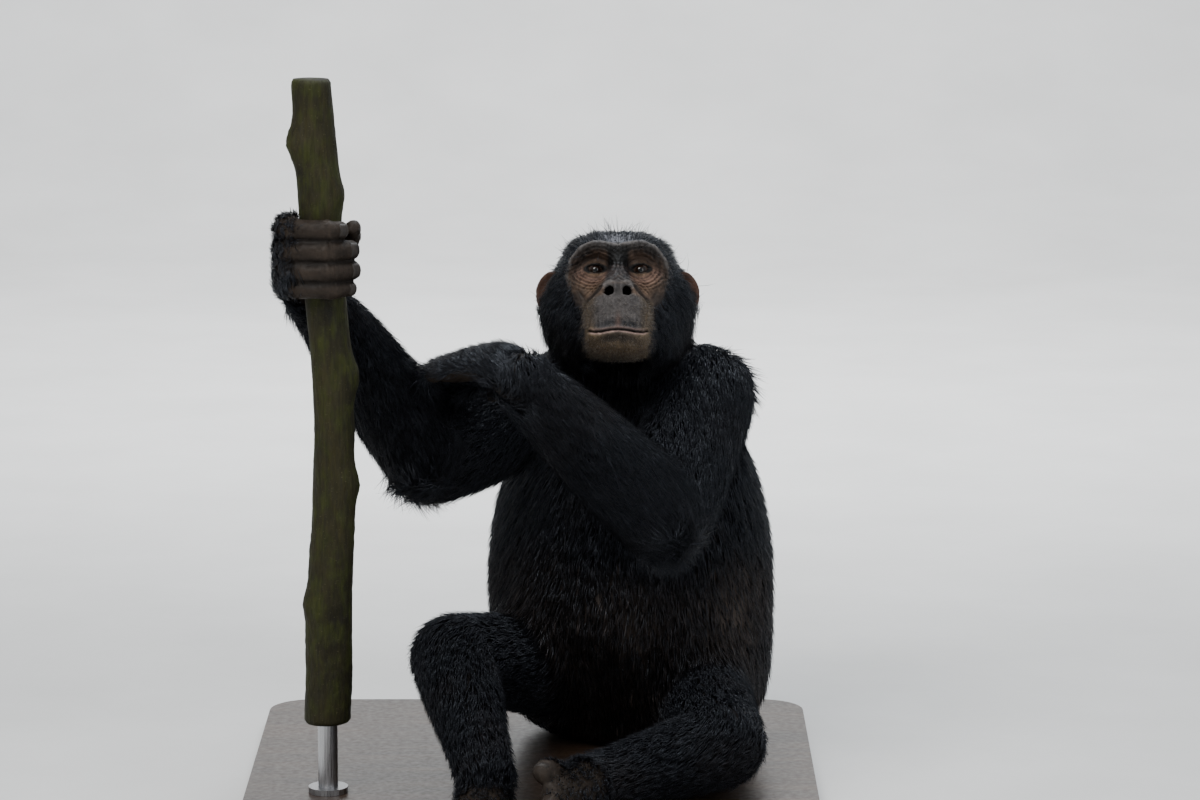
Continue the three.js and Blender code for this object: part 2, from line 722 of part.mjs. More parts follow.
// A lip is a low roll along the line of the mouth, half sunk in the muzzle.
function lip(shift, thick, grow) {
  const stations = [];
  for (const s of [-0.96, -0.78, -0.5, -0.18, 0.18, 0.5, 0.78, 0.96]) {
    const [l, middle] = mouthAt(s);
    const size = thick * (1 - 0.45 * s * s);
    const u = middle + shift * (1 - 0.4 * s * s);
    stations.push([inHead(faceAt(l, u) - 0.35 * size, l, u), size * 0.9, size]);
  }
  return new Limb(stations, OVER, { sides: 6, steps: 1, dome: 0.8 }).solid(grow);
}
const NOSTRIL = { at: [104, 10, -29], size: [13, 6.8, 8.4], tilt: rad(32), sides: 8 };
function nostril(side) {
  const { at, size, tilt, sides } = NOSTRIL;
  const inward = FORE.clone().multiplyScalar(Math.cos(tilt)).addScaledVector(OVER, Math.sin(tilt));
  const upward = OVER.clone().multiplyScalar(Math.cos(tilt)).addScaledVector(FORE, -Math.sin(tilt));
  return blob(inHead(at[0], side * at[1], at[2]), size, [inward, LEFTWARD, upward], 0, sides);
}
// The lips above and below the line of the mouth, as the shift from it and the thickness.
const LIPS = [
  [4.4, 5.2],
  [-5, 5.6],
];
function head(grow) {
  let made = headSolid(grow);
  for (const side of [1, -1]) made = made.add(ballAtEye(side, EYE.lid, grow, 9));
  for (const [shift, thick] of LIPS) made = made.add(lip(shift, thick, grow));
  if (grow) return [made];
  for (const side of [1, -1])
    made = made.subtract(lidOpening(side)).subtract(eyeball(side, GAP)).subtract(nostril(side));
  return [made.subtract(mouthLine())];
}

// An ear: a cup with a rolled rim, open forward and outward.
const EAR = { at: [-14, 87, -7], wide: 25.5, high: 25, deep: 12.5, thick: 4, sides: 12, rings: 4 };
function ear(side) {
  const out = FORE.clone().multiplyScalar(-0.62).addScaledVector(LEFTWARD, 0.78 * side);
  const open = FORE.clone().multiplyScalar(0.78).addScaledVector(LEFTWARD, 0.62 * side);
  const middle = inHead(EAR.at[0], side * EAR.at[1], EAR.at[2]);
  const sheet = (k, back) => {
    const ring = [];
    const rho = k / EAR.rings;
    const roll = rho > 0.9 ? 0.6 : 1;
    const depth = EAR.deep * (rho ** 1.6 - 1) * roll - (back ? EAR.thick : 0);
    for (let j = 0; j < EAR.sides; j++) {
      const a = (2 * Math.PI * j) / EAR.sides;
      const reach = rho + (back ? 0.04 : 0);
      ring.push(
        middle
          .clone()
          .addScaledVector(out, EAR.wide * reach * Math.cos(a))
          .addScaledVector(OVER, EAR.high * reach * (1 + 0.12 * Math.sin(a)) * Math.sin(a))
          .addScaledVector(open, depth),
      );
    }
    return ring;
  };
  const rings = [];
  for (let k = 1; k <= EAR.rings; k++) rings.push(sheet(k, false));
  for (let k = EAR.rings; k >= 1; k--) rings.push(sheet(k, true));
  const pole = (back) => middle.clone().addScaledVector(open, -EAR.deep - (back ? EAR.thick : 0));
  return solidOfRings(rings, pole(false), pole(true));
}

// The solids of the body, in the order in which each gives way to the ones before it.
const piece = (limb) => part((grow) => [limb.solid(grow)]);
const bisector = (a, b, c) => b.clone().sub(a).normalize().add(c.clone().sub(b).normalize());
// A limb of two parts that meet at the middle one of three joints.
const bentLimb = (near, far, [a, b, c]) => partAtJoint(piece(near), piece(far), b, bisector(a, b, c));

const jointsLeftArm = [AT.shoulderLeft, AT.elbowLeft, AT.wristLeft];
const jointsRightArm = [AT.shoulderRight, AT.elbowRight, AT.wristRight];
const jointsLeftLeg = [AT.hipLeft, AT.kneeLeft, AT.ankleLeft];
const jointsRightLeg = [AT.hipRight, AT.kneeRight, AT.ankleRight];
const [upperL, lowerL] = bentLimb(upperArmLeft, forearmLeft, jointsLeftArm);
const [upperR, lowerR] = bentLimb(upperArmRight, forearmRight, jointsRightArm);
const [thighL, calfL] = bentLimb(thighLeft, shinLeft, jointsLeftLeg);
const [thighR, calfR] = bentLimb(thighRight, shinRight, jointsRightLeg);
const stemPart = part((grow) => [stem(grow)]);
const handR = part((grow) => [palmRight, gripThumb, ...gripFingers].map((p) => p.solid(grow)));
const handL = part((grow) => [palmLeft, leftThumb, ...leftFingers].map((p) => p.solid(grow)));
const ALL_ROUND = [0, 2 * Math.PI];
const BEHIND = [Math.PI, 2 * Math.PI];
const DOWN = v(0, 0, -1);
const underElbow = facing(upperArmLeft, 3.6, DOWN);

// The locks of each part: where their rows start and end along it, and how many there are round it.
const backCoat = { from: 5.4, to: 1.3, rows: 5, angles: BEHIND, count: 5, long: 116, wide: 88 };
const neckCoat = { from: 2.1, to: 1, rows: 2, angles: BEHIND, count: 3, long: 76, wide: 66 };
const upperArmCoat = { from: 0.9, to: 2.6, rows: 2, angles: ALL_ROUND, count: 4, long: 106, wide: 66 };
const forearmCoat = { from: 3.4, to: 1.9, rows: 2, angles: ALL_ROUND, count: 4, long: 106, wide: 58 };
const thighCoat = { from: 0.9, to: 2, rows: 2, angles: ALL_ROUND, count: 3, long: 90, wide: 74, lift: 7 };
const shinCoat = { from: 0.5, to: 1.6, rows: 2, angles: ALL_ROUND, count: 2, long: 82, wide: 66, lift: 6 };
const elbowTuft = {
  from: 3.1,
  to: 3.4,
  rows: 2,
  angles: [underElbow - 0.7, underElbow],
  count: 1,
  long: 84,
  wide: 60,
  lift: 14,
};
const coats = {
  torso: coatOver(torso, backCoat),
  neck: coatOver(neck, neckCoat),
  upperArmLeft: [
    ...coatOver(upperArmLeft, { ...upperArmCoat, to: 2.4 }),
    ...coatOver(upperArmLeft, elbowTuft),
  ],
  upperArmRight: coatOver(upperArmRight, upperArmCoat),
  forearmLeft: coatOver(forearmLeft, forearmCoat),
  forearmRight: coatOver(forearmRight, forearmCoat),
  thighLeft: coatOver(thighLeft, thighCoat),
  thighRight: coatOver(thighRight, thighCoat),
  shinLeft: coatOver(shinLeft, shinCoat),
  shinRight: coatOver(shinRight, shinCoat),
};
const order = [
  ["perch_stem", stemPart],
  ["eye_l", part((grow) => [eyeball(1, grow)])],
  ["eye_r", part((grow) => [eyeball(-1, grow)])],
  ["head", part(head), headCoat()],
  ["ear_l", part(() => [ear(1)])],
  ["ear_r", part(() => [ear(-1)])],
  ["torso", piece(torso), coats.torso],
  ["neck", piece(neck), coats.neck],
  ["hand_r", handR],
  ["forearm_r", lowerR, coats.forearmRight],
  ["upper_arm_r", upperR, coats.upperArmRight],
  ["hand_l", handL],
  ["forearm_l", lowerL, coats.forearmLeft],
  ["upper_arm_l", upperL, coats.upperArmLeft],
  ["thigh_r", thighR, coats.thighRight],
  ["thigh_l", thighL, coats.thighLeft],
  ["foot_r", part(solidsOfFoot(footRight))],
  ["foot_l", part(solidsOfFoot(footLeft))],
  ["shin_r", calfR, coats.shinRight],
  ["shin_l", calfL, coats.shinLeft],
].map(([name, { own, grown }, locks = []]) => ({ name, own, grown, locks }));

// A node keeps only its largest closed surface.
function largest(solid) {
  const bodies = solid.decompose();
  return bodies.reduce((best, body) => (body.volume() > best.volume() ? body : best));
}
const aboveGround = (solid) => solid.trimByPlane([0, 0, 1], GAP);

// Each core gives way to the cores before it. Its locks then give way to other cores and to earlier locks.
const finished = [];
for (const [rank, { name, own, grown, locks }] of order.entries()) {
  const earlier = order.slice(0, rank);
  let core = earlier.reduce((solid, other) => solid.subtract(other.grown), own);
  if (name !== "perch_stem") core = aboveGround(core);
  if (locks.length) {
    let hair = joined(locks.map((one) => lock(one, false)));
    for (const other of order) if (other.name !== name) hair = hair.subtract(other.grown);
    for (const other of earlier) if (other.hairRoom) hair = hair.subtract(other.hairRoom);
    core = core.add(aboveGround(hair));
    order[rank].hairRoom = joined(locks.map((one) => lock(one, true)));
  }
  finished.push({ name, solid: largest(core) });
}

// Colours, roughness and metalness of the parts.
const LOOKS = {
  coat: { color: 0x16161a, roughness: 0.8, metalness: 0 },
  face: { color: 0x6b5348, roughness: 0.6, metalness: 0 },
  skin: { color: 0x3a312d, roughness: 0.6, metalness: 0 },
  ear: { color: 0x8a6455, roughness: 0.6, metalness: 0 },
  eye: { color: 0x2a1710, roughness: 0.1, metalness: 0 },
  bark: { color: 0x55582f, roughness: 0.9, metalness: 0 },
  base: { color: 0x2c2a28, roughness: 0.5, metalness: 0 },
  rod: { color: 0x6f7276, roughness: 0.35, metalness: 1 },
};
const lookOf = (name) => {
  if (name.startsWith("hand") || name.startsWith("foot")) return LOOKS.skin;
  if (name.startsWith("ear")) return LOOKS.ear;
  if (name.startsWith("eye")) return LOOKS.eye;
  if (name === "head") return LOOKS.face;
  if (name === "perch_stem") return LOOKS.bark;
  return LOOKS.coat;
};
function geometryOf(solid) {
  const mesh = solid.getMesh();
  const geometry = new THREE.BufferGeometry();
  geometry.setAttribute("position", new THREE.BufferAttribute(Float32Array.from(mesh.vertProperties), 3));
  geometry.setIndex(new THREE.BufferAttribute(Uint32Array.from(mesh.triVerts), 1));
  geometry.computeVertexNormals();
  return geometry;
}
function addMesh(group, name, geometry, look) {
  const mesh = new THREE.Mesh(geometry, new THREE.MeshStandardMaterial(look));
  mesh.name = name;
  group.add(mesh);
  return mesh;
}

const group = new THREE.Group();
const sitter = new THREE.Group();
sitter.position.z = BASE.thick;
group.add(sitter);
for (const { name, solid } of finished) addMesh(sitter, name, geometryOf(solid), lookOf(name));

// The base is a flat plate with round corners, and a short rod with a collar carries the stem.
function basePlate() {
  const { left, right, front, back, corner } = BASE;
  const outline = new THREE.Shape();
  outline.moveTo(left + corner, front);
  outline.lineTo(right - corner, front);
  outline.absarc(right - corner, front + corner, corner, -Math.PI / 2, 0);
  outline.lineTo(right, back - corner);
  outline.absarc(right - corner, back - corner, corner, 0, Math.PI / 2);
  outline.lineTo(left + corner, back);
  outline.absarc(left + corner, back - corner, corner, Math.PI / 2, Math.PI);
  outline.lineTo(left, front + corner);
  outline.absarc(left + corner, front + corner, corner, Math.PI, Math.PI * 1.5);
  return new THREE.ExtrudeGeometry(outline, { depth: BASE.thick, bevelEnabled: false, curveSegments: 4 });
}
addMesh(group, "stand_base", basePlate(), LOOKS.base);

function rod() {
  const foot = stemCurve.getPoint(0);
  const top = STEM.low - GAP;
  const profile = [
    [0, GAP],
    [ROD.collarRadius, GAP],
    [ROD.collarRadius, ROD.collarHeight],
    [ROD.radius, ROD.collarHeight],
    [ROD.radius, top],
    [0, top],
  ].map(([x, y]) => new THREE.Vector2(x, y));
  const geometry = new THREE.LatheGeometry(profile, 20).rotateX(Math.PI / 2).translate(foot.x, foot.y, 0);
  geometry.deleteAttribute("uv");
  geometry.deleteAttribute("normal");
  return mergeVertices(geometry, 1e-4);
}
addMesh(sitter, "stand_rod", rod(), LOOKS.rod);

export default group;
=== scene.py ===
"""A seated adult chimpanzee holding a stem, as a life-size museum model with skin, coat, eyes and nails."""
import json
import math

import bmesh
import bpy
import numpy as np
import openvdb
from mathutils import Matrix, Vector
from mathutils.kdtree import KDTree

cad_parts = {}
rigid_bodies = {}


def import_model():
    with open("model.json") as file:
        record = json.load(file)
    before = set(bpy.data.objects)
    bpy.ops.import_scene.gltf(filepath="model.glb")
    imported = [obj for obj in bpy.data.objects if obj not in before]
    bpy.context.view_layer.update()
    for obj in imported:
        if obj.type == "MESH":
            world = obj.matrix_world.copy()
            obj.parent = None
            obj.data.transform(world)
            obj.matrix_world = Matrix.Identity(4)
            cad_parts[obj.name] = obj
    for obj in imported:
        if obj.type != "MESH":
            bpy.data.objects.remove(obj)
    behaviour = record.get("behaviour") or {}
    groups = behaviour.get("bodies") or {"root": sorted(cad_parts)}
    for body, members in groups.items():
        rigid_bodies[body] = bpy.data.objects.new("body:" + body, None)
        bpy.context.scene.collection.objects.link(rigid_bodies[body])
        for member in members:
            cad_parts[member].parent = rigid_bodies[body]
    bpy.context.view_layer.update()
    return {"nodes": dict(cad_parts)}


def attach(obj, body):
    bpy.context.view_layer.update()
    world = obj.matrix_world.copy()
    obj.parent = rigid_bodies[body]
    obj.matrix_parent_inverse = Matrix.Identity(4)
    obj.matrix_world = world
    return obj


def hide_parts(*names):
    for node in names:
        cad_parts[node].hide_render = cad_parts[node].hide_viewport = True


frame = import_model()
NODES = frame["nodes"]
BODY = "root"

# Units: the body is worked out in millimetres above the top of the base, and its pieces are made in metres.
MM = 0.001
BASE_TOP = 24.0

# How far the skin and the hair stay above the base, in millimetres.
SKIN_FLOOR = 0.2
HAIR_FLOOR = 0.3

# The solids that stay in view, and those that one piece of their own replaces.
KEPT_NODES = ("stand_base", "stand_rod")
OWN_PIECES = ("perch_stem", "eye_l", "eye_r")

# The camera stands where the photographer did, a little above the animal.
VIEW = {"distance": 6.0, "elevation": 10.0, "target": (-0.0405, 0.0, 0.497), "lens": 133.3, "sensor": 36.0}


def vec(*xyz):
    return np.array(xyz, float)


def unit(a):
    return a / np.maximum(np.linalg.norm(a, axis=-1, keepdims=True), 1e-9)


def lerp(a, b, t):
    return a + (b - a) * t


def smooth(low, high, x):
    t = np.clip((x - low) / (high - low), 0, 1)
    return t * t * (3 - 2 * t)


def bump(x, middle, width):
    """1 at the middle, falling off smoothly on both sides."""
    return np.exp(-(((x - middle) / width) ** 2))


def inside_box(form, P):
    """Which points lie in the box round a form."""
    return np.nonzero(((P > form.low) & (P < form.high)).all(1))[0]


# Joints and other places in the body, in millimetres above the base.
AT = {
    "seat": vec(12, 24, 24), "hips": vec(10, 28, 92), "belly": vec(2, 18, 190), "ribs": vec(1, 22, 290),
    "chest": vec(-2, 28, 385), "shoulders": vec(-8, 32, 458), "neck_root": vec(-12, 12, 522),
    "nape": vec(-15, -32, 590), "head": vec(-17, -95, 643),
    "shoulder_l": vec(98, -44, 482), "elbow_l": vec(42, -262, 366), "wrist_l": vec(-150, -283, 556),
    "knuckles_l": vec(-212, -212, 552),
    "shoulder_r": vec(-122, 102, 444), "elbow_r": vec(-268, -119, 420), "wrist_r": vec(-411, -194, 645),
    "hip_l": vec(82, 2, 92), "knee_l": vec(122, -296, 70), "ankle_l": vec(-66, -424, 46),
    "hip_r": vec(-62, 62, 92), "knee_r": vec(-236, -196, 166), "ankle_r": vec(-186, -420, 62),
}
TURN = {"hips": math.radians(25), "shoulders": math.radians(36)}

# How far the skin lies under the outline of the solids, where the coat covers it.
COAT = {"torso": 9.0, "neck": 9.0, "upper_arm": 8.0, "forearm": 7.0, "thigh": 8.0, "shin": 6.0}


class Curve:
    """A smooth line through points, with the same run as the solids' spines."""

    def __init__(self, points):
        self.points = np.array(points, float)

    def at(self, i):
        p = self.points
        last = len(p) - 1
        k = min(int(i), last - 1)
        t = i - k
        p1, p2 = p[k], p[k + 1]
        p0 = p[k - 1] if k > 0 else 2 * p1 - p2
        p3 = p[k + 2] if k + 2 <= last else 2 * p2 - p1
        d0, d1, d2 = (math.sqrt(np.linalg.norm(b - a)) for a, b in ((p0, p1), (p1, p2), (p2, p3)))
        m1 = ((p1 - p0) / d0 - (p2 - p0) / (d0 + d1) + (p2 - p1) / d1) * d1
        m2 = ((p2 - p1) / d1 - (p3 - p1) / (d1 + d2) + (p3 - p2) / d2) * d1
        c2 = -3 * p1 + 3 * p2 - 2 * m1 - m2
        c3 = 2 * p1 - 2 * p2 + m1 + m2
        return p1 + m1 * t + c2 * t * t + c3 * t ** 3


class Limb:
    """A body that tapers along a smooth line. A station is (middle, half width, front depth, back depth)."""

    def __init__(self, stations, across, thin=0.0, steps=3, dome=0.7, level=False):
        curve = Curve([s[0] for s in stations])
        count = len(stations)
        places = np.linspace(0, count - 1, (count - 1) * steps + 1)
        self.middle = np.array([curve.at(i) for i in places])
        along = np.gradient(self.middle, axis=0)
        if level:
            along = np.tile(vec(0, 0, 1), (len(places), 1))
        self.along = unit(along)
        across = np.array(across, float).reshape(-1, 3)
        if len(across) == 1:
            across = np.repeat(across, count, axis=0)
        rows = np.arange(count)
        side = np.stack([np.interp(places, rows, across[:, k]) for k in range(3)], 1)
        side -= (side * self.along).sum(1, keepdims=True) * self.along
        self.side = unit(side)
        self.front = np.cross(self.side, self.along)
        sizes = np.array([(s[1], s[2], s[3] if len(s) > 3 else s[2]) for s in stations], float)
        self.radii = np.stack([cubic(sizes[:, k], places) for k in range(3)], 1) - thin
        self.dome = dome
        self.level = level
        reach = self.radii.max() + 30
        self.low = self.middle.min(0) - reach
        self.high = self.middle.max(0) + reach

    def depth(self, P):
        """How far each point lies outside the skin of the limb, below 0 inside it."""
        return self.nearest(P)[0]

    def nearest(self, P):
        """The depth of points by the limb, and their place along it, counted in stretches."""
        best = np.full(len(P), 1e3)
        place = np.zeros(len(P))
        for k in range(len(self.middle) - 1):
            depth, share = self.local(P, k)
            nearer = depth < best
            best[nearer] = depth[nearer]
            place[nearer] = (k + share)[nearer]
        return best, place

    def local(self, P, k):
        """The depth of points by one stretch of the limb, and their share of it."""
        a, b = self.middle[k], self.middle[k + 1]
        axis = unit(self.along[k] + self.along[k + 1])
        t = ((P - a) @ axis) / ((b - a) @ axis)
        clipped = np.clip(t, 0, 1)
        rel = P - (a + clipped[:, None] * (b - a))
        side = unit(self.side[k] + self.side[k + 1])
        front = unit(self.front[k] + self.front[k + 1])
        x, y = rel @ side, rel @ front
        wide, fore, back = (lerp(self.radii[k, j], self.radii[k + 1, j], clipped) for j in range(3))
        deep = np.where(y > 0, fore, back)
        over = np.abs(rel @ axis) * (t != clipped)
        least = np.minimum(wide, deep)
        if self.level and 0 < k:
            over = np.where(t < 0, 1e3, over)
        if self.level and k < len(self.middle) - 2:
            over = np.where(t > 1, 1e3, over)
        q = np.sqrt((x / wide) ** 2 + (y / deep) ** 2 + (over / (self.dome * least)) ** 2)
        return (q - 1) * least, clipped


def cubic(values, places):
    """A smooth value between the entries of a list, at places counted in entries."""
    v = np.asarray(values, float)
    last = len(v) - 1
    k = np.minimum(places.astype(int), last - 1)
    t = places - k
    a, b, c, d = (v[np.clip(k + j, 0, last)] for j in (-1, 0, 1, 2))
    square, cube = 2 * a - 5 * b + 4 * c - d, 3 * b - a - 3 * c + d
    return 0.5 * (2 * b + (c - a) * t + square * t ** 2 + cube * t ** 3)


def left_at(turn):
    return (math.cos(turn), -math.sin(turn), 0)


def between(a, b, t):
    return AT[a] + (AT[b] - AT[a]) * t


def hinge(a, b, c):
    return unit(np.cross(AT[b] - AT[a], AT[c] - AT[b]))


torso = Limb(
    [
        (AT["seat"], 156, 96, 96), (AT["hips"], 184, 146, 132), (AT["belly"], 197, 176, 160),
        (AT["ribs"], 194, 160, 164), (AT["chest"], 176, 122, 146), (AT["shoulders"], 146, 80, 108),
        (AT["neck_root"], 92, 56, 78),
    ],
    [left_at(lerp(TURN["hips"], TURN["shoulders"], k)) for k in (0, 0, 0.15, 0.4, 0.8, 1, 1)],
    thin=COAT["torso"], dome=0.35, level=True,
)
neck = Limb(
    [
        (vec(-10, 44, 496), 98, 62, 84), (AT["neck_root"], 92, 62, 80), (AT["nape"], 84, 68, 72),
        (vec(-17, -72, 632), 66, 60, 58),
    ],
    (1, 0, 0), thin=COAT["neck"],
)


# The stretches of arms and legs as (share of the length, half width, half depth). A coat that thins out
# towards the hand or foot has a share of its depth given back there.
STRETCHES = {
    "upper_arm": ([(-0.14, 58, 56), (0, 68, 66), (0.35, 60, 66), (0.7, 55, 67), (1, 53, 62)], 0),
    "forearm": ([(0, 53, 61), (0.22, 55, 57), (0.55, 48, 46), (0.85, 37, 34), (1, 33, 28)], 1),
    "thigh": ([(0, 82, 78), (0.35, 74, 66), (0.75, 60, 56), (1, 53, 54)], 0),
    "shin": ([(0, 50, 52), (0.3, 46, 50), (0.7, 35, 38), (1, 30, 32)], 0.7),
}


def stretch(kind, chain, first):
    """The part of an arm or leg that runs from one joint of the chain to the next."""
    rows, given_back = STRETCHES[kind]
    thin = COAT[kind]
    back = given_back * thin
    start, end = chain[first:first + 2]
    stations = [(between(start, end, t), w + back * t, d + back * t) for t, w, d in rows]
    return Limb(stations, hinge(*chain), thin=thin)


def digit(joints, across, steps=3):
    return Limb([(np.array(p, float), r, r * 0.92) for p, r in joints], across, steps=steps, dome=0.9)


ARM_L = ("shoulder_l", "elbow_l", "wrist_l")
ARM_R = ("shoulder_r", "elbow_r", "wrist_r")
LEG_L = ("hip_l", "knee_l", "ankle_l")
LEG_R = ("hip_r", "knee_r", "ankle_r")
upper_arm_l, upper_arm_r = (stretch("upper_arm", chain, 0) for chain in (ARM_L, ARM_R))
forearm_l, forearm_r = (stretch("forearm", chain, 1) for chain in (ARM_L, ARM_R))
thigh_l, thigh_r = (stretch("thigh", chain, 0) for chain in (LEG_L, LEG_R))
shin_l, shin_r = (stretch("shin", chain, 1) for chain in (LEG_L, LEG_R))

# The stem, and the right hand round it. An angle runs round the stem from the camera side towards -X.
STEM = {"low": 95.0, "high": 935.0, "radius_low": 30.0, "radius_high": 25.0}
STEM_LINE = Curve([
    (-396, -270, 95), (-391, -273, 270), (-383, -270, 470), (-396, -270, 705), (-408, -268, 935),
])
GRIP_REACH = 42.0


def stem_middle(z):
    return STEM_LINE.at(4 * (z - STEM["low"]) / (STEM["high"] - STEM["low"]))


def round_stem(degrees, radius, z):
    middle = stem_middle(z)
    a = math.radians(degrees)
    return vec(middle[0] - radius * math.sin(a), middle[1] - radius * math.cos(a), z)


def grip_finger(z, tip, radius):
    reach = GRIP_REACH
    return digit(
        [
            (round_stem(122, reach + 4, z - 6), radius + 1), (round_stem(88, reach + 5, z - 2), radius),
            (round_stem(42, reach + 2, z), radius), (round_stem(-8, reach - 1, z), radius - 1),
            (round_stem(tip, reach - 2, z - 1), radius - 3),
        ],
        (0, 0, 1), steps=4,
    )


GRIP = [(746, -42, 14.5), (719, -66, 16), (693, -66, 15.5), (670, -55, 12.5)]
grip_fingers = [grip_finger(*row) for row in GRIP]
grip_thumb = digit(
    [
        ((-402, -214, 668), 18), (round_stem(196, GRIP_REACH + 6, 700), 15),
        (round_stem(235, GRIP_REACH + 1, 726), 13), (round_stem(266, GRIP_REACH - 2, 744), 10.5),
    ],
    (0, 0.3, 1),
)
palm_r = Limb(
    [
        (between("wrist_r", "elbow_r", 0.06), 28, 25), (AT["wrist_r"], 31, 24),
        (vec(-420, -216, 674), 42, 22), (vec(-437, -240, 702), 50, 19), (vec(-443, -262, 707), 48, 16),
    ],
    [(0.5, 0.4, 0.6), (0.4, 0.5, 0.7), (0.3, 0.5, 0.8), (0.1, 0.2, 1), (0, 0, 1)], dome=0.5,
)

# The left hand hangs over the crook of the right elbow, palm down.
PALM_ACROSS_L = vec(0.79, 0.61, 0)
palm_l = Limb(
    [
        (between("wrist_l", "elbow_l", 0.06), 27, 24), (AT["wrist_l"], 30, 23),
        (vec(-178, -256, 566), 38, 20), (AT["knuckles_l"], 44, 17), (vec(-220, -200, 546), 42, 14),
    ],
    PALM_ACROSS_L, dome=0.5,
)
FINGER_RUN = [(6, -8, 1), (-16, 28, -4), (-26, 52, -14), (-32, 80, -34), (-32, 92, -54)]
FINGERS_L = [(33, 0.92, 14), (11, 1, 15), (-11, 0.96, 14.5), (-32, 0.8, 12)]


def left_finger(side, long, radius):
    root = AT["knuckles_l"] + PALM_ACROSS_L * side
    slim = (0, 0, 0, 1.5, 4)
    joints = [(root + np.array(run) * long, radius - less) for run, less in zip(FINGER_RUN, slim)]
    return digit(joints, PALM_ACROSS_L)


left_fingers = [left_finger(*row) for row in FINGERS_L]
left_thumb = digit(
    [((-150, -262, 545), 15), ((-150, -228, 532), 13), ((-166, -200, 520), 11.5), ((-180, -184, 512), 9.5)],
    (0.5, 0.5, 0.6),
)


class Foot:
    """A foot in its own frame: x to the big toe's side, y to the toes, z up from the sole."""

    def __init__(self, origin, forward, up, mirror):
        y = unit(vec(*forward))
        x = unit(np.cross(y, vec(*up)))
        self.axes = np.array([x * mirror, y, np.cross(x, y)])
        self.origin = vec(*origin)
        way = self.axes[0]
        p = self.place
        self.sole = Limb(
            [
                (p(0, -34, 26), 24, 24), (p(0, -8, 34), 31, 33), (p(2, 40, 30), 33, 29),
                (p(3, 88, 22), 40, 22), (p(2, 122, 16), 42, 17),
            ],
            way, dome=0.4,
        )
        self.toes = [
            digit(
                [
                    (p(x, 108, 15), r), (p(x * 1.06, 108 + 32 * long, 18), r),
                    (p(x * 1.1, 108 + 60 * long, 14), r - 1), (p(x * 1.1, 108 + 78 * long, 9), r - 2.5),
                ],
                way,
            )
            for x, long, r in ((22, 0.95, 11.5), (2, 1, 12), (-17, 0.92, 11), (-34, 0.75, 10))
        ]
        big_toe = [(p(20, 30, 20), 17), (p(40, 60, 16), 15), (p(54, 90, 15), 14), (p(58, 114, 13), 12)]
        self.big_toe = digit(big_toe, way)

    def place(self, x, y, z):
        return self.origin + np.array([x, y, z]) @ self.axes


foot_r = Foot((-186, -424, 0), (-0.16, -1, 0), (0, 0, 1), -1)
foot_l = Foot((-92, -438, 40), (-0.12, -1, 0), (0.94, 0, 0.34), 1)

# The head, in its own frame: fore, leftward and over.
HEAD_PITCH = math.radians(20)
FORE = vec(0, -math.cos(HEAD_PITCH), math.sin(HEAD_PITCH))
OVER = vec(0, math.sin(HEAD_PITCH), math.cos(HEAD_PITCH))
LEFTWARD = vec(1, 0, 0)
HEAD_AXES = np.array([FORE, LEFTWARD, OVER])


def in_head(f, l, u):
    return AT["head"] + f * FORE + l * LEFTWARD + u * OVER


def to_head(P):
    return (P - AT["head"]) @ HEAD_AXES.T


def to_side(H):
    """The way outward at points of the head, left or right."""
    return np.sign(H[:, 1])[:, None] * LEFTWARD


EYE = {"at": (59, 29.5, 9), "radius": 11.5, "lid": 14.0, "half_wide": 12.4, "half_high": 5.4}
NOSTRIL = {"at": (104, 10.2, -30), "size": (15, 8.2, 9.8)}


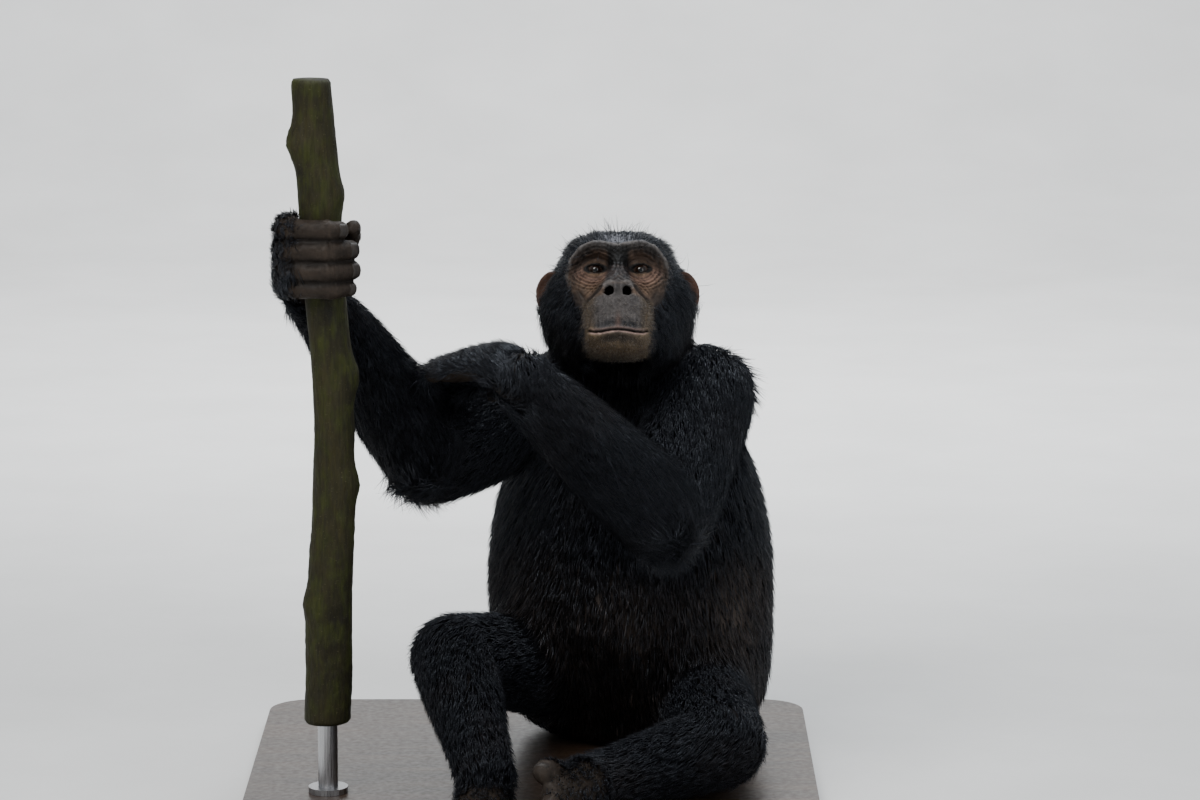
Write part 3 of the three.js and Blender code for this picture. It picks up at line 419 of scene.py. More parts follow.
class Head:
    """The skull and face as soft masses: (fore, leftward, over), radii, whether it has a twin, how square."""

    MASSES = [
        ((-26, 0, 12), (88, 74, 60), False, 2.2),
        ((-8, 51, -28), (40, 39, 54), True, 2.0),
        ((60, 0, 25), (11, 24, 10), False, 2.0),
        ((40, 0, -6), (34, 54, 44), False, 2.0),
        ((46, 42, -16), (20, 19, 22), True, 2.0),
        ((71, 0, -64), (48, 40.5, 37), False, 2.7),
        ((73, 0, -16), (20, 13, 34), False, 2.0),
        ((90, 0, -25), (15, 12, 10), False, 2.0),
        ((89, 11.5, -28), (15, 10.5, 12.5), True, 2.2),
        ((71, 0, -89.5), (41, 38, 17.5), False, 2.7),
        ((16, 40, -54), (48, 30, 42), True, 2.0),
        ((-48, 0, -28), (58, 60, 54), False, 2.0),
    ]
    BROW = [
        ((71, 0, 31), 7.0), ((76, 14, 34.5), 8.0), ((75, 30, 36.5), 8.6),
        ((66, 45, 32), 8.4), ((52, 57, 20), 7.4), ((40, 63, 5), 5.5),
    ]
    SOCKET = ((84, 30, 10), (21, 21, 17))
    SOFTNESS = 7.0
    low = AT["head"] - 175
    high = AT["head"] + 175

    @staticmethod
    def inside(at, size, H, flip=1, power=2.0):
        q = sum(np.abs((H[:, k] - at[k] * (flip if k == 1 else 1)) / size[k]) ** power for k in range(3))
        return (1 - q ** (1 / power)) * min(size)

    def brow(self, H):
        """The ridge over both eyes, as a row of short round stretches."""
        best = np.full(len(H), 1e3)
        mirrored = np.stack([H[:, 0], np.abs(H[:, 1]), H[:, 2]], 1)
        for (a, ra), (b, rb) in zip(self.BROW, self.BROW[1:]):
            a, b = vec(*a), vec(*b)
            t = np.clip((mirrored - a) @ (b - a) / ((b - a) @ (b - a)), 0, 1)
            r = np.linalg.norm(mirrored - a - t[:, None] * (b - a), axis=1)
            best = np.minimum(best, r - lerp(ra, rb, t))
        return best

    def depth(self, P):
        H = to_head(P)
        total = np.zeros(len(H))
        for at, size, twin, power in self.MASSES:
            for flip in (1, -1) if twin else (1,):
                total += np.exp(np.clip(self.inside(at, size, H, flip, power), -120, 120) / self.SOFTNESS)
        solid = -self.SOFTNESS * np.log(np.maximum(total, 1e-9))
        hollow = np.maximum(self.inside(*self.SOCKET, H, 1), self.inside(*self.SOCKET, H, -1))
        solid = smooth_max(solid, hollow, 6.0)
        return smooth_min(solid, self.brow(H), 6.0)


class FaceOpenings:
    """What is cut from the face: the opening between the lids, and the nostrils."""

    low = AT["head"] - 120
    high = AT["head"] + 150

    def hollow(self, P):
        H = to_head(P)
        f, l, u = H[:, 0], np.abs(H[:, 1]), H[:, 2]
        eye_f, eye_l, eye_u = EYE["at"]
        dl, du = l - eye_l, u - eye_u
        lens = EYE["half_high"] * np.clip(1 - (dl / EYE["half_wide"]) ** 2, 0, 1) ** 0.8
        slit = np.minimum(np.minimum(lens - np.abs(du - 0.06 * dl), EYE["half_wide"] - np.abs(dl)), f - eye_f)
        ball = np.sqrt((f - eye_f) ** 2 + dl ** 2 + du ** 2) - (EYE["radius"] - 1.2)
        at, size = NOSTRIL["at"], NOSTRIL["size"]
        x, y, z = f - at[0], l - at[1], u - at[2]
        tilt = 0.35
        y, z = y + tilt * z, z - tilt * y
        q = np.sqrt((x / size[0]) ** 2 + (y / size[1]) ** 2 + (z / size[2]) ** 2)
        return np.maximum(np.minimum(slit, ball), (1 - q) * min(size))


class Ball:
    """A round form, such as a lid over an eye, as (middle, radius)."""

    def __init__(self, middle, radius):
        self.middle, self.radius = middle, radius
        self.low, self.high = middle - radius - 20, middle + radius + 20

    def depth(self, P):
        return np.linalg.norm(P - self.middle, axis=1) - self.radius


class Ear:
    """The shell of an ear: a cup with a rolled rim, open forward and outward."""

    SIZE = {"at": (-14, 87, -7), "wide": 25.0, "high": 24.0, "deep": 12.0, "thick": 4.6}

    def __init__(self, side):
        size = self.SIZE
        f, l, u = size["at"]
        self.middle = in_head(f, l * side, u)
        self.out = -0.62 * FORE + 0.78 * side * LEFTWARD
        self.open = 0.78 * FORE + 0.62 * side * LEFTWARD
        self.low, self.high = self.middle - 55, self.middle + 55

    def coords(self, P):
        rel = P - self.middle
        return rel @ unit(self.out), rel @ OVER, rel @ unit(self.open)

    def depth(self, P):
        size = self.SIZE
        x, y, z = self.coords(P)
        angle = np.arctan2(y, x)
        rho = np.hypot(x / size["wide"], y / (size["high"] * (1 + 0.12 * np.sin(angle))))
        sheet = size["deep"] * (np.minimum(rho, 1.1) ** 1.6 - 1) * np.where(rho > 0.8, 1 - 2 * (rho - 0.8), 1)
        fold = 3.6 * bump(rho, 0.6, 0.13) * smooth(-0.6, 0.6, np.cos(angle - 0.7))
        thick = size["thick"] + 4 * bump(rho, 0, 0.6)
        flat = np.abs(z - sheet + 0.5 * size["thick"] - fold) - 0.5 * thick
        rim = (rho - 1) * size["wide"]
        rolled = np.hypot((rho - 0.97) * size["wide"], z - sheet + 0.5) - 3.4
        return np.minimum(np.maximum(flat, rim), rolled)


def smooth_min(a, b, k):
    h = np.clip(0.5 + 0.5 * (b - a) / k, 0, 1)
    return b * (1 - h) + a * h - k * h * (1 - h)


def smooth_max(a, b, k):
    return -smooth_min(-a, -b, k)


def eye_middle(side):
    """The middle of an eye, with side 1 for the left one and -1 for the right one."""
    f, l, u = EYE["at"]
    return in_head(f, side * l, u)


head = Head()
EARS = [Ear(side) for side in (1, -1)]
EAR_REACH = 42

# Each chain of parts, and how softly each part runs into those before it.
TRUNK = [(torso, 1), (neck, 40), (thigh_l, 34), (thigh_r, 34), (shin_l, 14), (shin_r, 14), (head, 18)]
TRUNK += [(ear, 5) for ear in EARS] + [(Ball(eye_middle(side), EYE["lid"]), 5) for side in (1, -1)]
for foot in (foot_l, foot_r):
    TRUNK += [(foot.sole, 12), (foot.big_toe, 9)] + [(toe, 4) for toe in foot.toes]
RIGHT_ARM = [(upper_arm_r, 1), (forearm_r, 14), (palm_r, 10), (grip_thumb, 7)]
RIGHT_ARM += [(finger, 4) for finger in grip_fingers]
LEFT_ARM = [(upper_arm_l, 1), (forearm_l, 14), (palm_l, 10), (left_thumb, 6)]
LEFT_ARM += [(finger, 4) for finger in left_fingers]
FAR = 60.0
SHOULDER_BLEND = {"near": 34.0, "far": 1.5, "reach": 130.0}


def chain_field(parts, shape, inside):
    field = np.full(shape, FAR, np.float32)
    for part, blend in parts:
        index, P = inside(part)
        if len(P):
            old = field[index]
            field[index] = smooth_min(old, part.depth(P).reshape(old.shape), blend)
    return field


def body_field(shape, inside, everywhere):
    """How far each point lies outside the skin."""
    field = chain_field(TRUNK, shape, inside)
    index, P = inside(FaceOpenings)
    if len(P):
        old = field[index]
        field[index] = smooth_max(old, FaceOpenings().hollow(P).reshape(old.shape), 0.8)
    for arm, shoulder in ((RIGHT_ARM, "shoulder_r"), (LEFT_ARM, "shoulder_l")):
        far = np.linalg.norm(everywhere() - AT[shoulder], axis=-1) / SHOULDER_BLEND["reach"]
        near = np.exp(-(far ** 4))
        blend = lerp(SHOULDER_BLEND["far"], SHOULDER_BLEND["near"], near).reshape(shape)
        field = smooth_min(field, chain_field(arm, shape, inside), blend)
    return field


def field_at(P):
    """The distance of loose points from the skin."""

    def inside(form):
        index = inside_box(form, P)
        return index, P[index]

    return body_field((len(P),), inside, lambda: P)


PITCH = 4.2
GRID_LOW = vec(-500, -690, -12)
GRID_HIGH = vec(250, 245, 810)


def field_on_grid():
    counts = ((GRID_HIGH - GRID_LOW) / PITCH).astype(int)
    axes = [GRID_LOW[k] + PITCH * np.arange(counts[k]) for k in range(3)]

    def points(slices):
        mesh = np.meshgrid(*(axes[k][s] for k, s in enumerate(slices)), indexing="ij")
        return np.stack(mesh, -1).reshape(-1, 3).astype(np.float32)

    def inside(form):
        first = np.clip(((form.low - GRID_LOW) / PITCH).astype(int), 0, counts)
        last = np.clip(((form.high - GRID_LOW) / PITCH).astype(int) + 1, 0, counts)
        slices = tuple(slice(a, b) for a, b in zip(first, last))
        return slices, points(slices)

    return body_field(tuple(counts), inside, lambda: points((slice(None),) * 3))


def skin_mesh():
    """The skin as quads, in millimetres."""
    grid = openvdb.FloatGrid(FAR)
    grid.copyFromArray(np.ascontiguousarray(field_on_grid(), dtype=np.float32))
    P, quads = grid.convertToQuads(isovalue=0.0)
    return P * PITCH + GRID_LOW, quads


def in_metres(P):
    """The same points in the frame of the whole part."""
    return (P + vec(0, 0, BASE_TOP)) * MM


def piece_of(name, mesh, material):
    """An object of the model with its mesh and material, attached to the body."""
    obj = bpy.data.objects.new(name, mesh)
    bpy.context.scene.collection.objects.link(obj)
    mesh.materials.append(material)
    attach(obj, BODY)
    return obj


def large_piece(name, P, faces, material):
    """A piece from an array of points and one of faces that have the same number of corners."""
    mesh = bpy.data.meshes.new(name)
    count, corners = faces.shape
    mesh.vertices.add(len(P))
    mesh.vertices.foreach_set("co", in_metres(P).astype(np.float32).ravel())
    mesh.loops.add(count * corners)
    mesh.loops.foreach_set("vertex_index", faces.astype(np.int32).ravel())
    mesh.polygons.add(count)
    mesh.polygons.foreach_set("loop_start", np.arange(0, count * corners, corners, dtype=np.int32))
    mesh.polygons.foreach_set("loop_total", np.full(count, corners, np.int32))
    mesh.update()
    mesh.validate()
    mesh.shade_smooth()
    return piece_of(name, mesh, material)


def small_piece(name, P, faces, material):
    """A piece from points and a list of faces of a closed mesh, which are turned outward."""
    mesh = bpy.data.meshes.new(name)
    mesh.from_pydata([tuple(p) for p in in_metres(np.array(P))], [], faces)
    mesh.update()
    bm = bmesh.new()
    bm.from_mesh(mesh)
    bmesh.ops.recalc_face_normals(bm, faces=bm.faces)
    bm.to_mesh(mesh)
    bm.free()
    mesh.shade_smooth()
    return piece_of(name, mesh, material)


def set_values(piece, name, values):
    """Store a number for each point of a piece, for its material."""
    attribute = piece.data.attributes.new(name, "FLOAT", "POINT")
    attribute.data.foreach_set("value", np.asarray(values, np.float32))


def set_tones(piece, rgb):
    """Store a colour for each point of a piece, for its material."""
    attribute = piece.data.attributes.new("tone", "FLOAT_COLOR", "POINT")
    full = np.ones((len(rgb), 4), np.float32)
    full[:, :3] = rgb
    attribute.data.foreach_set("color", full.ravel())


def lattice(i, j, k, seed):
    h = np.sin(i * 127.1 + j * 311.7 + k * 74.7 + seed * 53.3) * 43758.5453
    return h - np.floor(h)


def noise(P, scale, seed=0):
    """Smooth noise from -1 to 1 at points, with lumps of about the given size."""
    Q = P / scale
    base = np.floor(Q)
    f = Q - base
    f = f * f * (3 - 2 * f)
    total = np.zeros(len(P))
    for a in (0, 1):
        for b in (0, 1):
            for c in (0, 1):
                x, y, z = (f[:, n] if on else 1 - f[:, n] for n, on in enumerate((a, b, c)))
                total += lattice(base[:, 0] + a, base[:, 1] + b, base[:, 2] + c, seed) * x * y * z
    return 2 * total - 1


def to_line(x, y, line):
    """How far flat points lie from a bent line, how far along it, from 0 to 1, and on which side of it."""
    line = np.array(line, float)
    best = np.full(len(x), 1e3)
    share = np.zeros(len(x))
    side = np.ones(len(x))
    for k in range(len(line) - 1):
        a, b = line[k], line[k + 1]
        d = b - a
        t = np.clip(((x - a[0]) * d[0] + (y - a[1]) * d[1]) / (d @ d), 0, 1)
        r = np.hypot(x - a[0] - t * d[0], y - a[1] - t * d[1])
        nearer = r < best
        best[nearer] = r[nearer]
        share[nearer] = ((k + t) / (len(line) - 1))[nearer]
        side[nearer] = np.sign(d[0] * (y - a[1]) - d[1] * (x - a[0]))[nearer]
    return best, share, side


# Lines of the face, and the wing of the nose, as (leftward, over) on its left. The right side mirrors them.
MOUTH_LINE = [(0, -82.0), (10, -82.8), (22, -84.6), (32, -84.2), (40, -81.0)]
BROW_LINE = [(0, 34), (14, 37.5), (30, 39), (45, 34), (57, 22), (63, 5), (62, -8)]
MUZZLE_FOLD = [(19, -19), (28, -28), (38, -35), (46, -48), (48, -62)]
INNER_FOLD = [(14, 0), (22, -8), (34, -19), (45, -30)]
OUTER_FOLD = [(44, 2), (50, -8), (52, -20), (46, -30)]
NOSE_WING = {"at": (11.5, -25.0), "size": (8.6, 9.0), "edge": 0.95}


class FaceMap:
    """Where points lie on the face, with both sides read as its left one."""

    def __init__(self, H):
        self.f, self.l, self.u = H[:, 0], np.abs(H[:, 1]), H[:, 2]
        self.across = H[:, 1]
        self.dl, self.du = self.l - EYE["at"][1], self.u - EYE["at"][2]
        self.mouth, self.mouth_share = self.line(MOUTH_LINE)[:2]
        self.fold, self.fold_share = self.line(MUZZLE_FOLD)[:2]
        brow, self.brow_share, side = self.line(BROW_LINE)
        self.ridge = brow * side
        self.up = over_mouth(self.l, self.u)
        (wing_l, wing_u), size = NOSE_WING["at"], NOSE_WING["size"]
        self.wing = np.hypot((self.l - wing_l) / size[0], (self.u - wing_u) / size[1])

    def line(self, points):
        return to_line(self.l, self.u, points)


def over_mouth(l, u):
    """How far points lie over the line of the mouth."""
    return u - np.interp(l, *zip(*MOUTH_LINE))


def wrinkles(measure, step):
    """Even waves along a measure, from -1 to 1."""
    return np.sin(2 * math.pi * measure / step)


# The wrinkles from the inner corner of the eye, as (how far from the fold's line, how deep).
INNER_WRINKLES = [(0, 1.7), (4.2, 1.2), (8.2, 0.8)]


def eye_relief(m, wander):
    """The rings, corners and folds round the eyes."""
    r = np.hypot(m.dl / 1.3, m.du) + wander
    below = smooth(3, -6, m.du + 0.2 * m.dl)
    around = smooth(12, 15, r) * smooth(36, 25, r)
    relief = wrinkles(r, 4.4) * around * (0.45 + 0.6 * below)
    relief -= 1.3 * bump(r, 13.5, 1.3) * smooth(2, 6, np.abs(m.du))
    corner = bump(m.dl, 25, 11) * bump(m.du, -3, 13)
    relief += 0.7 * corner * wrinkles(m.du + 0.4 * m.dl + 1.3 * wander, 5.0)
    inner, share, _ = m.line(INNER_FOLD)
    within = smooth(0, 0.12, share) * smooth(1, 0.8, share)
    for shift, deep in INNER_WRINKLES:
        relief -= deep * bump(inner + 0.6 * wander, shift, 1.3) * within
    return relief - 1.1 * bump(m.line(OUTER_FOLD)[0] + wander, 0, 1.6)


def muzzle_relief(m, wander):
    """The fold beside the muzzle, the wings of the nose, and the lips."""
    fading = smooth(0, 0.1, m.fold_share) * (1 - 0.4 * m.fold_share)
    relief = -2.6 * bump(m.fold + 0.4 * wander, 0, 2.4) * fading
    relief += 1.5 * bump(m.wing, NOSE_WING["edge"], 0.22) * smooth(-34, -26, m.u) * smooth(88, 94, m.f)
    relief -= 1.0 * bump(m.l, 0, 2.6) * bump(m.u, -24, 8)
    within = smooth(1, 0.92, m.mouth_share)
    relief -= 4.8 * bump(m.mouth, 0, 1.2) * within
    relief += 1.3 * bump(m.up, 3.4, 2.4) * within * smooth(50, 36, m.l)
    relief += 2.0 * bump(m.up, -4.0, 3.0) * within * smooth(50, 34, m.l)
    relief -= 1.4 * bump(m.up, -12, 4.0) * smooth(40, 18, m.l)
    lip = bump(m.up, 11, 10) * smooth(48, 30, m.l)
    relief += 0.45 * lip * wrinkles(m.across + 1.2 * wander, 5.2)
    return relief - 0.6 * bump(m.l, 0, 2.2) * bump(m.up, 10, 9)


def brow_relief(m, wander):
    """The edge and the creases of the brow, and those of the nose's bridge."""
    relief = 1.2 * bump(m.ridge, 5.0, 2.2) * smooth(1, 0.8, m.brow_share)
    relief += 0.55 * bump(m.ridge, -3, 6) * wrinkles(m.across * 0.8 + 1.4 * wander, 5.0)
    bridge = bump(m.u, 10, 11) * smooth(17, 9, m.l)
    return relief + 0.42 * bridge * wrinkles(m.u - 0.25 * m.l + wander, 5.2)


def face_relief(H, N):
    """How far the fine forms of the face stand out from its masses, in millimetres."""
    m = FaceMap(H)
    wander = 1.6 * noise(H, 13, 3) + 0.7 * noise(H, 6, 4)
    relief = eye_relief(m, wander) + muzzle_relief(m, wander) + brow_relief(m, wander)
    relief += 0.55 * noise(H, 2.6, 8) + 0.6 * noise(H, 7, 9)
    return relief * smooth(10, 30, m.f) * smooth(-0.2, 0.3, (N @ FORE))


# Where the joints of a finger or toe lie along it, and how far they stand out.
KNUCKLES = [(0.42, 1.3), (0.8, 0.7)]


def hand_relief(P, digits):
    """The swelling and the creases at the joints of fingers and toes, in millimetres."""
    relief = np.zeros(len(P))
    for digit_limb in digits:
        near = inside_box(digit_limb, P)
        if not len(near):
            continue
        best, place = digit_limb.nearest(P[near])
        share = place / (len(digit_limb.middle) - 1)
        skin = smooth(6, 2, best)
        for joint, stands_out in KNUCKLES:
            swelling = bump(share, joint, 0.075)
            crease = np.sin(2 * math.pi * (share - joint) / 0.028) * swelling
            relief[near] += (stands_out * swelling + 0.5 * crease) * skin
        relief[near] -= 0.7 * bump(share, 0.62, 0.08) * skin
    return relief


def near_ear(P, ear):
    return np.linalg.norm(P - ear.middle, axis=1) < EAR_REACH


# Where the skin gets finer faces. The face has two levels, each as (how far forward it starts, half width,
# middle height, half height) in the head's own frame. The ears, hands and feet have the first level alone.
FINE_FACE = [(8, 82, -25, 108), (30, 72, -30, 94)]
FINE_LEFT_HAND = {"middle": AT["knuckles_l"] + vec(10, 20, -10), "reach": 95}
FINE_RIGHT_HAND = {"left": -350, "low": 640}
FINE_FEET = {"ahead": -400}


def regions_to_split(P, level):
    H = to_head(P)
    ahead, wide, middle, high = FINE_FACE[level]
    face = (H[:, 0] > ahead) & (np.abs(H[:, 1]) < wide) & (np.abs(H[:, 2] - middle) < high)
    if level > 0:
        return face
    ears = np.any([near_ear(P, ear) for ear in EARS], axis=0)
    right_hand = (P[:, 0] < FINE_RIGHT_HAND["left"]) & (P[:, 2] > FINE_RIGHT_HAND["low"])
    left_hand = np.linalg.norm(P - FINE_LEFT_HAND["middle"], axis=1) < FINE_LEFT_HAND["reach"]
    return face | ears | right_hand | left_hand | (P[:, 1] < FINE_FEET["ahead"])


def split(obj, level):
    """Quarter the faces of the regions that need fine form."""
    bm = bmesh.new()
    bm.from_mesh(obj.data)
    P = np.array([v.co for v in bm.verts]) / MM - vec(0, 0, BASE_TOP)
    chosen = regions_to_split(P, level)
    edges = [e for e in bm.edges if chosen[e.verts[0].index] and chosen[e.verts[1].index]]
    bmesh.ops.subdivide_edges(bm, edges=edges, cuts=1, use_grid_fill=True)
    bmesh.ops.triangulate(bm, faces=[f for f in bm.faces if len(f.verts) > 4])
    bm.to_mesh(obj.data)
    bm.free()


def points_of(obj):
    co = np.empty(len(obj.data.vertices) * 3, np.float32)
    obj.data.vertices.foreach_get("co", co)
    return co.reshape(-1, 3).astype(float) / MM - vec(0, 0, BASE_TOP)


def set_points(obj, P):
    obj.data.vertices.foreach_set("co", in_metres(P).astype(np.float32).ravel())
    obj.data.update()


def normals_of(obj):
    normals = np.empty(len(obj.data.vertices) * 3, np.float32)
    obj.data.vertex_normals.foreach_get("vector", normals)
    return normals.reshape(-1, 3).astype(float)


def settle(P, field, rounds=2, step=0.5):
    """Points moved onto the surface where the field is 0."""
    for _ in range(rounds):
        here = field(P)
        slope = unit(np.stack([field(P + step * e) - here for e in np.eye(3)], 1))
        P = P - np.clip(here, -3, 3)[:, None] * slope
    return P


# Broad unevenness of the body's skin, as (size of the lumps, how far they stand out, seed).
UNEVEN = [(26, 1.2, 21), (60, 2.0, 22)]


def build_skin():
    P, quads = skin_mesh()
    skin = large_piece("skin", P, quads, skin_material())
    for level in range(len(FINE_FACE)):
        split(skin, level)
    P = points_of(skin)
    fine = regions_to_split(P, 0)
    P[fine] = settle(P[fine], field_at)
    set_points(skin, P)
    N = normals_of(skin)
    P[fine] += face_relief(to_head(P[fine]), N[fine])[:, None] * N[fine]
    P += hand_relief(P, DIGITS)[:, None] * N
    body = ~fine
    P[body] += sum(high * noise(P[body], wide, seed) for wide, high, seed in UNEVEN)[:, None] * N[body]
    P[:, 2] = np.maximum(P[:, 2], SKIN_FLOOR)
    set_points(skin, P)
    skin.data.shade_smooth()
    set_tones(skin, skin_colour(Survey(points_of(skin), normals_of(skin))))
    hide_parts(*[name for name in NODES if name not in KEPT_NODES + OWN_PIECES])
    return skin


# The coat. Each part has the way that its hair lies along it, the hair's length and width in millimetres,
# and how dense it stands.
COAT_COLUMNS = ("limb", "way", "length", "width", "density")
HEAD_COAT = {"length": 34, "width": 1.15, "density": 3.0}
COAT_PARTS = {
    "torso": (torso, -1, 50, 2.2, 0.8), "neck": (neck, -1, 52, 1.9, 1.25),
    "upper_arm_l": (upper_arm_l, 1, 60, 1.8, 1.1), "upper_arm_r": (upper_arm_r, 1, 60, 1.8, 1.1),
    "forearm_l": (forearm_l, -1, 54, 1.6, 1.3), "forearm_r": (forearm_r, -1, 54, 1.6, 1.3),
    "thigh_l": (thigh_l, 1, 56, 1.8, 0.95), "thigh_r": (thigh_r, 1, 56, 1.8, 0.95),
    "shin_l": (shin_l, 1, 46, 1.6, 1.0), "shin_r": (shin_r, 1, 46, 1.6, 1.0),
    "palm_l": (palm_l, 1, 24, 1.1, 1.9), "palm_r": (palm_r, 1, 20, 1.0, 2.2),
    "foot_l": (foot_l.sole, 1, 18, 1.2, 0.9), "foot_r": (foot_r.sole, 1, 18, 1.2, 0.9),
}
PIECE_OF = {
    "torso": "torso", "neck": "neck", "upper_arm_l": "upper_arm_l", "upper_arm_r": "upper_arm_r",
    "forearm_l": "forearm_l", "forearm_r": "forearm_r", "palm_l": "forearm_l", "palm_r": "forearm_r",
    "thigh_l": "leg_l", "thigh_r": "leg_r", "shin_l": "leg_l", "shin_r": "leg_r",
    "foot_l": "leg_l", "foot_r": "leg_r", "head": "head",
}
# The hair of the forearm and of the hand's back part at the wrist, and lean to one side there.
PARTING = {"palm_l": 0.7, "palm_r": 0.7}
LABELS = list(COAT_PARTS) + ["head"]
DIGITS = [grip_thumb, left_thumb, foot_l.big_toe, foot_r.big_toe]
DIGITS += grip_fingers + left_fingers + foot_l.toes + foot_r.toes

# The half width of the bare face at heights over the middle of the head, in millimetres.
FACE_HEIGHTS = (-122, -114, -102, -60, -42, -28, 0, 20, 33, 43, 50)
FACE_WIDTHS = (8, 30, 40, 43, 46, 57, 65, 66, 61, 46, 20)


def face_edge(H):
    """How far a point of the head lies outside the edge of the bare face, in millimetres."""
    edge = np.abs(H[:, 1]) - np.interp(H[:, 2], FACE_HEIGHTS, FACE_WIDTHS) + 2.5 * noise(H, 9, 31)
    edge = np.maximum(edge, H[:, 2] - 44 + 2 * noise(H, 7, 33))
    edge = np.maximum(edge, -118 - H[:, 2])
    return np.maximum(edge, 8 - H[:, 0])


def along_limb(limb, P):
    """The depth of points by a limb, their share of its length, their angle round it and its run there."""
    best, place = limb.nearest(P)
    last = len(limb.middle) - 1
    k = np.minimum(place.round().astype(int), last)
    rel = P - limb.middle[k]
    angle = np.arctan2((rel * limb.front[k]).sum(1), (rel * limb.side[k]).sum(1))
    return best, place / last, angle, limb.along[k]


class Survey:
    """What the coat needs to know at points on the skin."""

    FAR_OFF = 200.0
    SOFTNESS = 7.0
    HEAD_REACH = 150.0
    CHART_ROWS = 4
    CHART_EDGE = 0.04

    def __init__(self, P, N):
        self.P, self.N, self.head = P, N, to_head(P)
        shape = (len(P), len(LABELS))
        self.depths = np.full(shape, self.FAR_OFF)
        self.place, self.angle, self.run = np.zeros(shape), np.zeros(shape), np.zeros((*shape, 3))
        for k, name in enumerate(LABELS[:-1]):
            self.read_limb(k, name)
        self.read_head()
        weights = np.exp(-self.depths / self.SOFTNESS) + 1e-9
        self.weights = weights / weights.sum(1, keepdims=True)
        self.label = self.depths.argmin(1)
        self.read_digits()
        self.ear = np.zeros(len(P))
        for ear in EARS:
            near = np.nonzero(near_ear(P, ear))[0]
            self.ear[near] = np.maximum(self.ear[near], smooth(6, 2, np.abs(ear.depth(P[near]))))

    def read_limb(self, k, name):
        limb, way = COAT_PARTS[name][:2]
        near = inside_box(limb, self.P)
        if len(near):
            depth, place, angle, run = along_limb(limb, self.P[near])
            self.depths[near, k] = np.abs(depth)
            self.place[near, k], self.angle[near, k] = place, angle
            self.run[near, k] = run * way + PARTING.get(name, 0) * limb.side[0]

    def read_head(self):
        """The hair of the head runs back from the face over the crown, and down and outward at the cheeks."""
        H = self.head
        near = np.nonzero(np.linalg.norm(H - vec(0, 0, -20), axis=1) < self.HEAD_REACH)[0]
        self.depths[near, -1] = np.abs(head.depth(self.P[near]))
        self.place[:, -1] = 0.5 + 0.5 * H[:, 2] / self.HEAD_REACH
        self.angle[:, -1] = np.arctan2(H[:, 1], H[:, 0] + 10)
        low = smooth(45, -35, H[:, 2])[:, None]
        self.run[:, -1] = -lerp(1.0, 0.3, low) * FORE - lerp(0.12, 1.0, low) * OVER + 0.22 * to_side(H)

    def read_digits(self):
        """How far points lie on a finger or toe, how far along it, and how deep between two of them."""
        count = len(self.P)
        digit_depth, next_depth = np.full((2, count), self.FAR_OFF)
        self.reach = np.zeros(count)
        for limb in DIGITS:
            near = inside_box(limb, self.P)
            if len(near):
                depth, place, _, _ = along_limb(limb, self.P[near])
                depth = np.abs(depth)
                next_depth[near] = np.minimum(next_depth[near], np.maximum(depth, digit_depth[near]))
                nearer = depth < digit_depth[near]
                digit_depth[near[nearer]] = depth[nearer]
                self.reach[near[nearer]] = place[nearer]
        self.digit = smooth(7, 2, digit_depth)
        self.cleft_shade = smooth(10, 2, next_depth)

    def mix(self, measure):
        """A measure of the coat, mixed from those of the parts near each point."""
        column = COAT_COLUMNS.index(measure)
        values = [COAT_PARTS[name][column] for name in LABELS[:-1]] + [HEAD_COAT[measure]]
        return self.weights @ np.array(values, float)

    def of(self, *names):
        return sum(self.weights[:, LABELS.index(name)] for name in names)

    def unwrap(self):
        """The place of each point on a flat unwrap of the skin, with one chart for each part."""
        rows, edge = self.CHART_ROWS, self.CHART_EDGE
        column, row = self.label // rows, self.label % rows
        pick = np.arange(len(self.P))
        across = 0.5 + self.angle[pick, self.label] / (2 * math.pi)
        up = np.clip(self.place[pick, self.label], 0, 1)
        inner = 1 - 2 * edge
        return np.stack([(column + edge + inner * across) / rows, (row + edge + inner * up) / rows], 1)


# Where skin shows through the coat in the crook of the right elbow.
CROOK = {"at": vec(-243, -125, 492), "reach": 27}


def bare_crook(s):
    return bump(np.linalg.norm(s.P - CROOK["at"], axis=1) + 5 * noise(s.P, 12, 48), 0, CROOK["reach"])


def bare_front(s):
    """Where the coat is thin on the belly, the groin and the left flank."""
    trunk = s.of("torso")
    ahead = smooth(0.1, 0.75, s.N @ vec(math.sin(-TURN["hips"]), -math.cos(TURN["hips"]), 0))
    belly = ahead * smooth(330, 230, s.P[:, 2])
    flank = smooth(0.2, 0.8, s.N[:, 0]) * smooth(20, -60, s.P[:, 1]) * smooth(330, 260, s.P[:, 2])
    return trunk * np.clip(0.5 * belly + 0.9 * flank + 0.25 * noise(s.P, 50, 47) * ahead, 0, 1)


# How far the hair reaches down the fingers and toes, as shares of their length, less at the right elbow's
# crook, where the left hand shows its fingers.
LAST_HAIR = {"from": 0.38, "to": 0.56, "less": 0.3, "crook_reach": 170}
# The way that the hairy side of each hand and foot faces.
BACKS = {
    "palm_l": vec(-0.2, -0.3, 1), "palm_r": vec(-1, 0.5, 0.1),
    "foot_r": vec(0, 0, 1), "foot_l": vec(0.9, 0, 0.35),
}
# How far the hair falls down and outward, and wanders in swirls, against its run along the part.
FALL = {"drop": 120, "share": 0.45}
SWIRL = {"wide": 70, "share": 0.22, "seeds": (41, 42, 43)}


def round_joints(s, joints, reach):
    """1 at the named joints, falling off round them."""
    return sum(bump(np.linalg.norm(s.P - AT[name], axis=1), 0, reach) for name in joints)


# The hair of the head is short at the face's edge, longer behind it and longest at the cheeks, and it is
# shorter and thin over the brow.
HEAD_HAIR = {"at_face": 8, "behind": 32, "ruff": 18, "brow_shorter": 0.55, "brow_thinner": 0.86}


